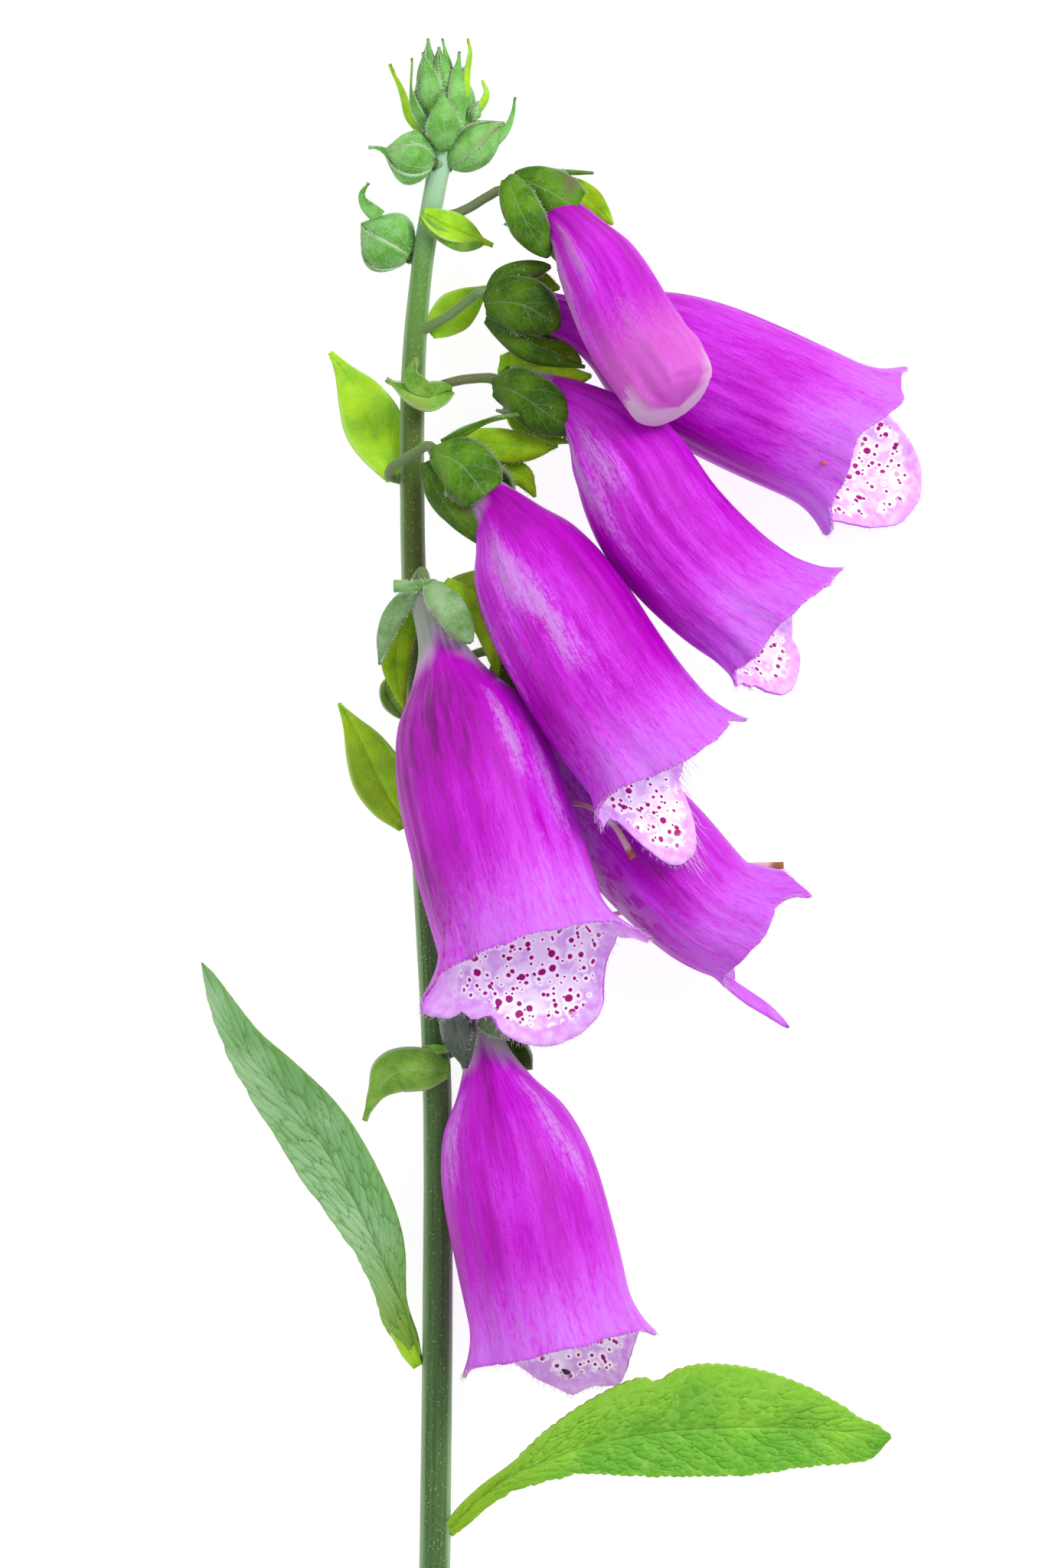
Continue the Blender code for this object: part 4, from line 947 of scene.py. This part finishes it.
# A bract green with the light through it painted in, and a copy of it in painted shade.
bractPaints = [
    greenPaint("bract", (0.25, 0.52, 0.02), (0.40, 0.70, 0.02), (0.50, 0.74, 0.18), (0.33, 0.46, 0.0), 0.45),
    greenPaint("bract in shade", (0.12, 0.30, 0.02), (0.25, 0.48, 0.06), (0.46, 0.60, 0.36),
               (0.19, 0.13, 0.05)),
]


def foldLift(half, fold, u, t):
    return half * (fold * abs(u) - bractShape["bow"] * u * u) * (1 - t**4)


def bladeInto(tissue, points, half, tilt, fold, number,
              cells=(bractShape["across"], bractShape["along"]), shape=outlines["bract"], skin=0):
    line = Line(smoothWay(points), tilt)

    def place(u, t):
        centre, _, rise, side = line.at(t * line.length)
        wide = half * smoothValue(shape, t)
        rib = bractShape["rib"] * max(0.0, 1 - abs(u) / bractShape["ribHalf"]) * (1 - t)
        ripple = bractShape["ripple"] * wave(u * 1.6 + number, t * 3, number)
        lift = foldLift(wide, fold, u, t) + bractShape["lift"] + ripple - rib
        point = centre + side * wide * u + rise * lift
        return onTable(point, 0.1), (u, t, number), (u * wide + number * 5, t * line.length, 0)

    tissue.sheet(*cells, place, skin=skin)


for number, (name, (points, half, tilt, fold, colour)) in enumerate(bracts.items()):
    blade = Tissue()
    bladeInto(blade, points, half, tilt, fold, number, skin=colour,
              shape=outlines["hooded" if name == "bract_1" else "bract"])
    if name in moreBlades:
        domed(blade, moreBlades[name], number + 30, (10, 24))
    blade.make(name + "_blade", bractPaints, [name], bractShape["wall"], 1)

leaves = {
    "leaf_left": {"line": [(-1.6, 28.4, 1.8), (-2.7, 32.9, 2.6), (-4.8, 38, 3.2), (-8.3, 45.6, 3.4),
                           (-12.3, 52.6, 3.2), (-17.5, 59.1, 2.4), (-21.8, 64.7, 1.4), (-25.9, 73, 0)],
                  "leftEdge": [(0, 0.8), (0.05, 2.0), (0.1, 2.6), (0.16, 2.4), (0.21, 2.2), (0.27, 2.4),
                               (0.33, 2.9), (0.41, 3.5), (0.5, 4.0), (0.6, 3.5), (0.7, 2.9), (0.8, 2.0),
                               (0.88, 1.4), (0.94, 0.9), (0.97, 0.5), (1, 0.02)],
                  "rightEdge": [(0, 0.5), (0.06, 0.6), (0.1, 0.5), (0.14, 0.75), (0.18, 1.6), (0.22, 2.6),
                                (0.28, 3.6), (0.36, 4.2), (0.5, 4.5), (0.6, 4.4), (0.7, 3.6), (0.8, 2.5),
                                (0.88, 1.7), (0.94, 1.0), (0.97, 0.6), (1, 0.02)],
                  "tilt": -16, "fold": 0.3, "tooth": 0.03, "teeth": 30, "quilt": 0.16, "net": 0.2,
                  "mesh": 1.3, "veins": 7, "slant": 0.34, "stretch": 0.6,
                  "deep": (0.17, 0.39, 0.13), "light": (0.28, 0.50, 0.23), "vein": (0.06, 0.22, 0.0),
                  "warm": (0.20, 0.38, 0.01), "rust": 0.0},
    "leaf_right": {"line": [(1.5, 9.6, 1.8), (4.7, 12.9, 3), (8.3, 15.7, 3.8), (12.6, 17.6, 4.2),
                            (18.9, 19.7, 4), (28, 21, 3.2), (40, 21.1, 1.6), (51.1, 20.1, 0)],
                   "leftEdge": [(0, 0.7), (0.05, 1.05), (0.12, 1.15), (0.18, 1.2), (0.22, 1.8), (0.27, 3.1),
                                (0.33, 4.3), (0.4, 5.8), (0.45, 6.7), (0.485, 6.9), (0.505, 6.3),
                                (0.52, 6.5), (0.545, 7.4), (0.6, 7.9), (0.7, 7.1), (0.8, 5.2), (0.88, 3.1),
                                (0.93, 1.6), (0.97, 0.9), (1, 0.1)],
                   "rightEdge": [(0, 0.7), (0.05, 1.1), (0.12, 1.25), (0.2, 1.7), (0.27, 2.05), (0.33, 2.6),
                                 (0.4, 3.7), (0.5, 4.7), (0.6, 5.1), (0.7, 5.15), (0.8, 4.4), (0.88, 3.75),
                                 (0.93, 3.4), (0.97, 2.7), (1, 0.1)],
                   "tilt": 14, "fold": 0.35, "tooth": 0.22, "teeth": 52, "quilt": 0.26, "net": 0.22,
                   "mesh": 0.95, "veins": 12, "slant": 0.20, "stretch": 1.0,
                   "deep": (0.12, 0.39, 0.02), "light": (0.22, 0.52, 0.03), "vein": (0.32, 0.60, 0.09),
                   "warm": (0.26, 0.46, 0.01), "rust": 0.8},
}
leafShape = {
    "wall": 0.45, "across": 84, "along": 240, "lift": 0.3, "rib": 0.3, "veinHalf": 0.14,
    "wing": [(-1.9, 27.8, 2.2), (-3.7, 31, 2.2), (-5.3, 34.6, 2.4), (-6.4, 39, 2.6)],  # at leaf_left's root
}
rustSpot = (0.48, 0.34, 0.08)


def leafPaint(name, row):
    paint = Paint(name + " tissue", roughness=0.5, gloss=0.3, **greenGlow)
    place, relief = paint.mark("mark"), paint.mark("tone")  # (across, along, vein) and place in millimetres
    across, along, vein = paint.split(place)
    mottle = paint.cloud(relief, 0.10, 4.0)
    fine = paint.cloud(relief, 3.0, 4.0, 0.6)
    # Mottled, with painted light: the half of the blade at negative across is painted lighter than the other
    # half.
    light = mottle + (fine - 0.5) * 0.3 - across * 0.16
    body = paint.mix(row["deep"], row["light"], paint.fade(light, 0.36, 0.66))
    body = paint.mix(body, row["warm"], paint.fade(along, 0.34, 0.04) * 0.8)
    body = paint.mix(body, row["vein"], paint.fade(vein, 0.2, 0.85) * 0.85)
    away = paint.math("ABSOLUTE", across)
    body = paint.mix(body, row["warm"], paint.fade(away, 0.93, 1.0) * 0.35)
    rust = 1 - paint.fade(paint.cells(relief, 0.17), 0.03, 0.075)
    body = paint.mix(body, rustSpot, rust * row["rust"])
    paint.set("Base Color", body)
    paint.set("Roughness", paint.fade(fine, 0.2, 0.8, 0.42, 0.6))
    paint.set("Normal", paint.bump(fine, 0.35, 0.2))
    return paint


def leaf(name, row, number):
    line = Line(smoothWay(row["line"]), row["tilt"])

    def place(u, t):
        s = t * line.length
        centre, _, up, side = line.at(s)
        half = smoothValue(row["rightEdge"] if u > 0 else row["leftEdge"], t)
        teeth = abs(math.sin(math.pi * row["teeth"] * (t - 0.02 * abs(u)))) ** 0.6
        half += row["tooth"] * teeth * abs(u) ** 6 * (0.22 < t < 0.98)
        width = abs(u) * half
        slanted = t - row["slant"] * abs(u) ** 0.85 * (1 - 0.5 * t) + 0.012 * wave(u * 3, t * 9, number)
        between = abs(math.sin(math.pi * slanted * row["veins"] / 0.9))
        rib = max(0.0, 1 - width / (0.42 * (1.3 - t)))
        sideVein = max(0.0, 1 - between / leafShape["veinHalf"]) * min(1.0, width / 0.4) * min(1.0, t * 4)
        spot = Vector((width * 1.2, (slanted * line.length + number * 9) * row["stretch"], (u > 0) * 5))
        near = noise.voronoi(spot / row["mesh"])[0]
        net = min(1.0, (near[1] - near[0]) * 2.6)
        relief = row["quilt"] * (between**0.7 - 0.5) + row["net"] * (net**0.7 - 0.6)
        relief *= min(1.0, half / 2.5) * min(1.0, width / 0.5) * (1 - abs(u) ** 6)
        relief -= leafShape["rib"] * rib * (1 - t)
        veinMark = max(rib, sideVein * 0.85, (1 - net) * 0.6)
        point = centre + side * half * u
        point += up * (foldLift(half, row["fold"], u, t) + relief + leafShape["lift"])
        return onTable(point, 0.02), (u, t, veinMark), (u * half, s, number * 9)

    blade = Tissue()
    blade.sheet(leafShape["across"], leafShape["along"], place)
    if name == "leaf_left":
        bladeInto(blade, leafShape["wing"], 1.0, 10, 0.2, 3, (14, 30), outlines["pointed"], 1)
    blade.make(name + "_blade", [leafPaint(name, row), bractPaints[0]], [name],
               leafShape["wall"], 1)


for number, (name, row) in enumerate(leaves.items()):
    leaf(name, row, number)


print("buds")

buds = {
    "bud_1": {"root": (-2.6, 151.8, 5.9), "tip": (-8.1, 155.6, 5.4), "radius": 3.2,
              "turn": 20, "hookHalf": 0.9,
              "hook": [(-6, 156.2, 6.4), (-7.6, 157.6, 6.7), (-8, 158.8, 6.8), (-7.2, 160, 6.8)]},
    "bud_2": {"root": (0.1, 162, 9), "tip": (-5.5, 163.4, 9.4), "radius": 2.75,
              "turn": -20, "hookHalf": 0.5,
              "hook": [(-4.4, 162.8, 9.8), (-5.9, 163.6, 9.8), (-7.2, 163.7, 9.8)]},
    "bud_3": {"root": (1.5, 161.9, 7.6), "tip": (7.9, 166.7, 7.6), "radius": 2.3,
              "turn": 40, "hookHalf": 0.75,
              "hook": [(5.3, 163.4, 8.4), (7.9, 165.6, 8.4), (8.8, 167.6, 8.2), (9.1, 169.5, 8)]},
}
crownShape = {
    "buds": [((-0.5, 168, 7.6), (-0.6, 176, 8.4), 1.2), ((1.1, 167, 8), (0.6, 175, 8.8), 1.7),
             ((0.3, 165.4, 6.9), (-1.6, 172.6, 4.8), 1.8), ((1.9, 166.1, 6.8), (3.4, 173, 5.6), 1.9),
             ((4.3, 166.8, 8.2), (5, 169, 8.2), 0.62)],
    "blades": [  # way, half width, outline and colour
        ([(-1.2, 165.2, 7.6), (-2.9, 167.1, 7.6), (-3.6, 169.8, 7.4), (-5, 173.2, 7)], 0.85, "bract", 1),
        ([(-0.8, 165.4, 9), (-2, 167.4, 9.6), (-2.5, 169.6, 9.6), (-2.5, 173.7, 9.4)], 1.0, "horn", 0),
        ([(-0.5, 166.4, 9), (-0.7, 169.2, 10.2), (-0.8, 172, 10.2), (-1.2, 174.3, 9.8)], 1.6, "bract", 0),
        ([(1.3, 163.3, 9.6), (1.3, 165.6, 12), (1.2, 167.9, 12.2), (1, 170, 11.6)], 2.0, "bract", 0),
        ([(2.2, 169.6, 8), (2.2, 171.5, 8.4), (1.5, 174, 8.4), (1, 176, 8.2)], 0.45, "pointed", 0),
        ([(3.2, 165.6, 9), (3.1, 168.4, 9.8), (2.9, 171, 9.8), (3, 174.4, 9.4)], 1.5, "bract", 0),
        ([(3.9, 168, 7.8), (3.9, 171.8, 8), (4.2, 174.4, 8), (3.9, 176, 8)], 0.6, "bract", 1),
        ([(3.9, 166.4, 7.6), (5.4, 168.2, 7.8), (6.1, 169.8, 7.8), (5.5, 171.4, 7.8)], 0.8, "pointed", 1),
        ([(0.9, 165.2, 6.9), (0.6, 167.4, 4.2), (0.2, 171.6, 3.8)], 1.6, "bract", 0)],
}
budShape = {"wall": 0.22, "spread": 52, "lap": 0.20, "puff": 0.12, "ripple": 0.05, "across": 14, "along": 26}
budOutline = [(0, 0.05), (0.04, 0.4), (0.2, 0.8), (0.42, 1.0), (0.64, 0.86), (0.82, 0.5), (0.93, 0.22),
              (1, 0.03)]
smallBudOutline = [(0, 0.2), (0.15, 0.7), (0.38, 1.0), (0.6, 0.8), (0.8, 0.36), (1, 0.03)]

budPaints = [
    greenPaint("bud", (0.10, 0.32, 0.03), (0.24, 0.56, 0.15), (0.50, 0.68, 0.48), (0.20, 0.14, 0.08)),
    bractPaints[0],
]


def budInto(tissue, root, tip, radius, turn, number, outline=budOutline,
            cells=(budShape["across"], budShape["along"])):
    line = Line([root, tip], turn)

    for sepal in range(5):
        middle = sepal * 72

        def place(u, t):
            s = t * line.length
            core = radius * smoothValue(outline, t)
            spread = math.radians(budShape["spread"]) * u * (1 - 0.5 * t**3)
            lap = budShape["lap"] * radius**0.5 * u * min(1.0, t * 5) * (1 - t**4)
            puff = budShape["puff"] * radius * (1 - u * u) * math.sin(math.pi * t)
            ripple = budShape["ripple"] * radius * wave(u * 2 + sepal, t * 4, number)
            out = max(0.03, core + lap + puff + ripple)
            return (onTable(line.out(s, math.radians(middle) + spread, out), 0.1), (u, t, number),
                    (u * 2 + number * 5 + sepal, s, 0))

        tissue.sheet(*cells, place)


budPieces = {}
for number, (name, row) in enumerate(buds.items()):
    bud = Tissue()
    budInto(bud, row["root"], row["tip"], row["radius"], row["turn"], number)
    domed(bud, (row["hook"], row["hookHalf"], 0, 0.3, "strap", 0), number + 3, (10, 20))
    bud.make(name + "_sepals", budPaints, [name], budShape["wall"])
    budPieces[name] = bud

crown = Tissue()
for number, (root, tip, radius) in enumerate(crownShape["buds"]):
    budInto(crown, root, tip, radius, number * 25, number, smallBudOutline, (8, 20))
for number, (points, half, outline, colour) in enumerate(crownShape["blades"]):
    facing = Vector((0.5 * (points[1][0] - 0.9), 0, 1 if points[1][2] > 7 else -1))
    domed(crown, (points, half, 0, 0.4, outline, colour), number + 20, (12, 24), facing)
crown.make("crown_sepals", budPaints, ["bud_crown"], budShape["wall"])
budPieces["crown"] = crown


print("stem")

stemShape = {
    "line": [(0, 0, 1.8), (0.4, 35, 2.2), (0.3, 61, 2.9), (-1.2, 90, 4.2), (-2.3, 119, 5.4),
             (-2.3, 138, 6.2), (-1.3, 150.5, 6.8), (0.2, 159.5, 7.2), (1, 163.9, 7.6), (0.9, 166.4, 8)],
    "radii": [1.75, 1.68, 1.6, 1.5, 1.38, 1.36, 1.2, 1.22, 1.25, 0.9],
    "sides": 32, "rings": 320, "stalk": 0.55, "stalkFoot": 0.6, "stalkHead": 0.35,
    "stalks": {
        "1": [(0.5, 62.6, 3.2), (2.6, 63.4, 2.9), (5, 66.8, 2.8), (6, 71, 3.6), (5.2, 72, 5.9)],
        "2": [(-2.2, 112.6, 5.4), (-2.4, 114.2, 8.6), (-2, 115.4, 11.4)],
        "3": [(-1.7, 101.1, 4.8), (1, 104.6, 4.4), (4, 107.2, 5)],
        "4": [(-2.9, 127, 4.6), (-4.8, 127.3, 6.6), (-4.6, 128.2, 9.2), (-2.4, 129.5, 11.8)],
        "5": [(-2, 136.3, 6.2), (0.4, 137.3, 7.2), (3.2, 138, 8.2)],
        "6": [(-1.8, 143.4, 6.5), (1.2, 144.8, 8.2), (4.1, 146.9, 10)],
        "7": [(-0.7, 156, 6.9), (2.9, 156.6, 8.8), (6, 158.2, 10.4)],
        "spent_1": [(-1.3, 87.4, 4.1), (-0.4, 90.8, 4.2)],
        "spent_2": [(-0.4, 75.6, 3.5), (1.6, 77.6, 3.9)],
    },
    "budStalks": {"bud_1": (-1.3, 150.2, 6.8), "bud_2": (0.5, 160.4, 7), "bud_3": (0.6, 161.2, 7)},
    "brownStalks": ["5", "7"],
}


def stemPaint():
    paint = Paint("stem skin", roughness=0.5, glow=0.1, glowColour=(0.5, 1.0, 0.3), gloss=0.3)
    place = paint.mark("mark")  # (cos, sin, distance)
    _, aside, height = paint.split(place)
    stalk, brownStalk, _ = paint.split(paint.mark("tone"))
    long = paint.drawn(place, 4.0, 0.06, 4.0, 0.6)
    fine = paint.drawn(place, 14.0, 2.6, 3.0, 0.6)
    # Painted sheen: both flanks are painted paler, as the white down looks where it is seen edge-on against
    # the light.
    flank = paint.fade(paint.math("ABSOLUTE", aside) + (long - 0.5) * 0.2, 0.55, 1.0)
    body = paint.mix((0.040, 0.10, 0.020), (0.075, 0.17, 0.040), paint.fade(long, 0.35, 0.66))
    body = paint.mix(body, (0.085, 0.13, 0.006), paint.fade(height, 70.0, 120.0) * 0.8)
    body = paint.mix(body, (0.11, 0.28, 0.04), paint.fade(height, 132.0, 150.0) * 0.8)
    body = paint.mix(body, (0.44, 0.70, 0.50), paint.fade(height + (fine - 0.5) * 10.0, 150.0, 163.0) * 0.85)
    body = paint.mix(body, (0.32, 0.48, 0.26), flank * 0.8)
    body = paint.mix(body, (0.16, 0.24, 0.09), stalk * 0.7)
    body = paint.mix(body, (0.15, 0.15, 0.06), brownStalk * 0.7)
    dot = 1 - paint.fade(paint.cells(paint.stretch(place, (4.0, 4.0, 1.6)), 1.0), 0.08, 0.20)
    body = paint.mix(body, (0.38, 0.54, 0.30), dot * 0.8)
    body = paint.mix(body, (0.26, 0.40, 0.20), paint.fade(fine, 0.52, 0.74) * 0.45)
    paint.set("Base Color", body)
    paint.set("Normal", paint.bump(long * 0.8 + fine * 0.4, 0.5, 0.3))
    return paint


def pithPaint():
    paint = Paint("cut end", roughness=0.6, glow=0.1, gloss=0.2)
    ring = paint.cloud(paint.mark("mark"), 3.0, 4.0)
    paint.set("Base Color", paint.mix((0.40, 0.48, 0.26), (0.56, 0.60, 0.42), ring))
    return paint


def stem():
    wood = Tissue()
    line = Line(smoothWay(stemShape["line"]))
    plain = Line(stemShape["line"])
    radiusAlong = [(reach / plain.length, radius) for reach, radius in zip(plain.reach, stemShape["radii"])]

    def radiusAt(t, angle):
        ribs = 0.008 * math.cos(5 * angle + 3 * t)
        ribs += 0.02 * wave(4 * math.cos(angle), 4 * math.sin(angle), t * 30)
        return smoothValue(radiusAlong, t) * (1 + ribs)

    wood.tube(line, radiusAt, stemShape["sides"], stemShape["rings"],
              lambda t, a: ((math.cos(a), math.sin(a), t * line.length), (0, 0, 0)), capSkin=1)
    ways = []
    for key, points in stemShape["stalks"].items():
        if key.startswith("spent"):
            flowerLine = spentLine(spent[key[-1]])
        else:
            flowerLine = bellLine(closedFlower if key == "7" else flowers[key])
        base, ahead, _, _ = flowerLine.at(0)
        ways.append((points + [base - ahead * 1.2, base + ahead * 0.1], 0.0, key in stemShape["brownStalks"]))
    for key, start in stemShape["budStalks"].items():
        root, tip = Vector(buds[key]["root"]), Vector(buds[key]["tip"])
        end = [root.lerp(tip, -0.1) - Vector((0, 0, 0.9)), root - Vector((0, 0, 0.4))]
        ways.append(([start] + end, 0.1, False))
    for number, (way, extra, brown) in enumerate(ways):
        stalk = Line(smoothWay(way, 10))
        height = way[0][1]

        def stalkRadius(t, angle):
            foot = stemShape["stalkFoot"] * max(0.0, 1 - t * stalk.length / 2.2) ** 2
            head = stemShape["stalkHead"] * climb(t, 0.8, 1) ** 2
            return stemShape["stalk"] * (1 + extra + foot + head + 0.08 * wave(angle, t * 8, number))

        wood.tube(stalk, stalkRadius, 14, 36,
                  lambda t, a: ((math.cos(a), math.sin(a), height + t * 9), (1, float(brown), 0)))
    wood.make("stem_skin", [stemPaint(), pithPaint()], ["stem"])
    return wood


stemPiece = stem()


print("stamens and styles")

stamenShape = {
    "filament": 0.3, "style": 0.3, "styleEnd": 0.5, "anther": 0.95, "antherHalf": 1.6,
    "threads": [(-38, 0.62), (38, 0.62), (-62, 0.74), (62, 0.74), (0, 0.86)],  # degrees and share of the bell
    "pod": [(0, 0.1), (0.18, 0.7), (0.5, 1.0), (0.82, 0.7), (1, 0.1)],
    "ovary": [(0, 0.8), (0.05, 1.0), (0.4, 0.95), (0.75, 0.5), (1, 0.2)], "ovaryLength": 5.2,
}


def stamenPaint():
    paint = Paint("stamen", roughness=0.45, glow=0.2, glowColour=(1.0, 0.7, 0.5), gloss=0.3)
    brown, yellow, green = paint.split(paint.mark("tone"))
    cloud = paint.cloud(paint.mark("mark"), 1.4, 3.0)
    body = paint.mix((0.66, 0.44, 0.40), (0.76, 0.60, 0.48), cloud)
    body = paint.mix(body, (0.70, 0.50, 0.14), yellow)
    body = paint.mix(body, (0.34, 0.40, 0.10), green)
    body = paint.mix(body, (0.32, 0.13, 0.04), paint.fade(brown + cloud * 0.3, 0.6, 0.95))
    paint.set("Base Color", body)
    paint.set("Normal", paint.bump(cloud, 0.3, 0.2))
    return paint


creamPaint = stamenPaint()


def ovary(tissue, line, radius):
    start = petal["start"]
    body = Line([line.at(start)[0], line.at(start + stamenShape["ovaryLength"])[0]])
    tissue.tube(body,
                lambda t, a: radius * smoothValue(stamenShape["ovary"], t) * (1 + 0.05 * math.cos(2 * a)),
                16, 16, lambda t, a: ((math.cos(a), math.sin(a), t * 5), (0, 0, 1)))


def anther(tissue, end):
    half = Vector((0, stamenShape["antherHalf"], 0))

    def radiusAt(t, a):
        groove = 1 - 0.25 * max(0.0, math.cos(a)) ** 8
        return stamenShape["anther"] * smoothValue(stamenShape["pod"], t) * groove

    tissue.tube(Line([end - half, end + half]), radiusAt, 14, 14, lambda t, a: ((t * 5, a, 0), (0, 0.8, 0)))


def stamens(key, flower):
    line = bellLine(flower)
    belly, start = flower["belly"], petal["start"]
    threads = Tissue()
    ovary(threads, line, 1.0)
    for angle, share in stamenShape["threads"]:
        reach = share * line.length - start
        stations = [(0.8, 0.4), (0.34 * reach, 0.9), (0.72 * reach, belly - 3.4), (reach, belly - 2.6)]
        points = [line.out(start + s, math.radians(angle) * min(1.0, 12 / (s + 6)), out)
                  for s, out in stations]
        threads.tube(Line(smoothWay(points)), lambda t, a: stamenShape["filament"] * (1 - 0.35 * t), 8, 40,
                     lambda t, a: ((t * 9, a, 0), (0 if angle else 0.5 * t, 0, 0)))
        if angle:
            anther(threads, points[-1])
    threads.make(f"stamens_{key}_fine", [creamPaint], [f"stamens_{key}"])


for key, flower in flowers.items():
    stamens(key, flower)
for key, flower in spent.items():
    line = spentLine(flower)
    left = Tissue()
    ovary(left, line, 1.25)
    way = Line(smoothWay([line.at(4.5)[0], line.at(6.5)[0]] + flower["style"]))
    left.tube(way, lambda t, a: stamenShape["style"] * (1 + stamenShape["styleEnd"] * climb(t, 0.8, 1)),
              10, 90, lambda t, a: ((t * 20, a, 0), (1.1 * climb(t, 0.9, 1), 0, 0)))
    left.make(f"style_{key}", [creamPaint], [f"pistil_{key}"])


print("specks")

specks = {  # place, radius and colour of what has settled on the petals
    "pollen_speck": (bellLine(flowers["6"]).out(42.4, math.radians(40), 8.6), 0.32, (0.80, 0.16, 0.01)),
    "lip_blotch": (Vector((14.7, 26.9, 1.1)), 0.5, (0.10, 0.07, 0.08)),
}
for name, (place, radius, colour) in specks.items():
    speck = Tissue()
    end = place + Vector((0.1, 0.3, 0.12)) * radius * 3
    speck.tube(Line([place, end]),
               lambda t, a: radius * math.sin(math.pi * (0.1 + 0.8 * t)) * (1 + 0.25 * math.cos(3 * a)),
               12, 8, lambda t, a: ((a, t, 0), (0, 0, 0)))
    paint = Paint(name.replace("_", " "), roughness=0.7, gloss=0.2)
    shade = tuple(0.5 * c for c in colour)
    paint.set("Base Color", paint.mix(colour, shade, paint.cloud(paint.mark("mark"), 2.0)))
    speck.make(name, [paint])


print("hairs")

hairs = {  # how many, or how many at each point of the edge, then length and thickness
    "stem": (15000, 0.6, 0.028), "sepal": (3, 0.45, 0.022), "bud": (900, 0.35, 0.018),
    "budEdge": (2, 0.35, 0.022), "mouth": (4, 0.8, 0.02), "lip": (2, 3.6, 0.03),
}
longHairs = {"flower": "4", "edge": 16}  # one lip has hairs that stand out along this much of its edge

hairPaint = Paint("white hair", roughness=0.6, gloss=0.2)
hairPaint.set("Base Color", (0.82, 0.90, 0.78, 1))
petalHairPaint = Paint("petal hair", roughness=0.6, gloss=0.2)
petalHairPaint.set("Base Color", (0.80, 0.66, 0.80, 1))


def spotsOn(tissue, count):
    sizes, total = [], 0.0
    for corners in tissue.faces:
        a, b, c = [tissue.points[k] for k in corners[:3]]
        total += (b - a).cross(c - a).length
        sizes.append(total)
    spots = []
    for _ in range(count):
        corners = tissue.faces[min(bisect.bisect_left(sizes, chance.random() * total), len(sizes) - 1)]
        a, b, c = [tissue.points[k] for k in corners[:3]]
        u, v = chance.random(), chance.random()
        spots.append(((a + (b - a) * u + (c - b) * v * u - home) / mm, (b - a).cross(c - a).normalized()))
    return spots


def fur(name, spots, length, thickness, paint=hairPaint, spread=0.35, both=False):
    coat = Tissue()
    for point, normal in spots:
        way = (normal + Vector([chance.uniform(-spread, spread) for _ in range(3)])).normalized()
        if both and chance.random() < 0.5:
            way.negate()
        if point.z < 0.5 and way.z < 0:
            way.z = 0.1
        bend = Vector([chance.uniform(-0.5, 0.5) for _ in range(3)])
        coat.hair(point, way, length * chance.uniform(0.5, 1.15), thickness, bend)
    coat.make(name, [paint])


def fringe(name, tissue, slot, every, length, thickness, paint=hairPaint, spread=0.5):
    spots = []
    for point, way in tissue.rims:
        if way.length > 0.01:
            spots += [(point + Vector([chance.uniform(-0.15, 0.15) for _ in range(3)]), way.normalized())
                      for _ in range(every) if chance.random() < 0.9]
    fur(name, spots, length, thickness, paint, spread)


count, length, thickness = hairs["stem"]
fur("stem_down", spotsOn(stemPiece, count), length, thickness)
for key, tissue in calyces.items():
    fringe(f"sepal_fringe_{key}", tissue, "sepal green", *hairs["sepal"])
count, length, thickness = hairs["bud"]
for key, tissue in budPieces.items():
    fur(f"{key}_down", spotsOn(tissue, count), length, thickness, both=True)
    fringe(f"{key}_fringe", tissue, "sepal green", *hairs["budEdge"])
for key, tissue in bells.items():
    fringe(f"mouth_fringe_{key}", tissue, "corolla purple", *hairs["mouth"], petalHairPaint)
count, length, thickness = hairs["lip"]
key = longHairs["flower"]
edge = bells[key].rims[:longHairs["edge"]]
fur(f"lip_hairs_{key}", [(point, way.normalized()) for point, way in edge for _ in range(count)],
    length, thickness, petalHairPaint, 0.3)
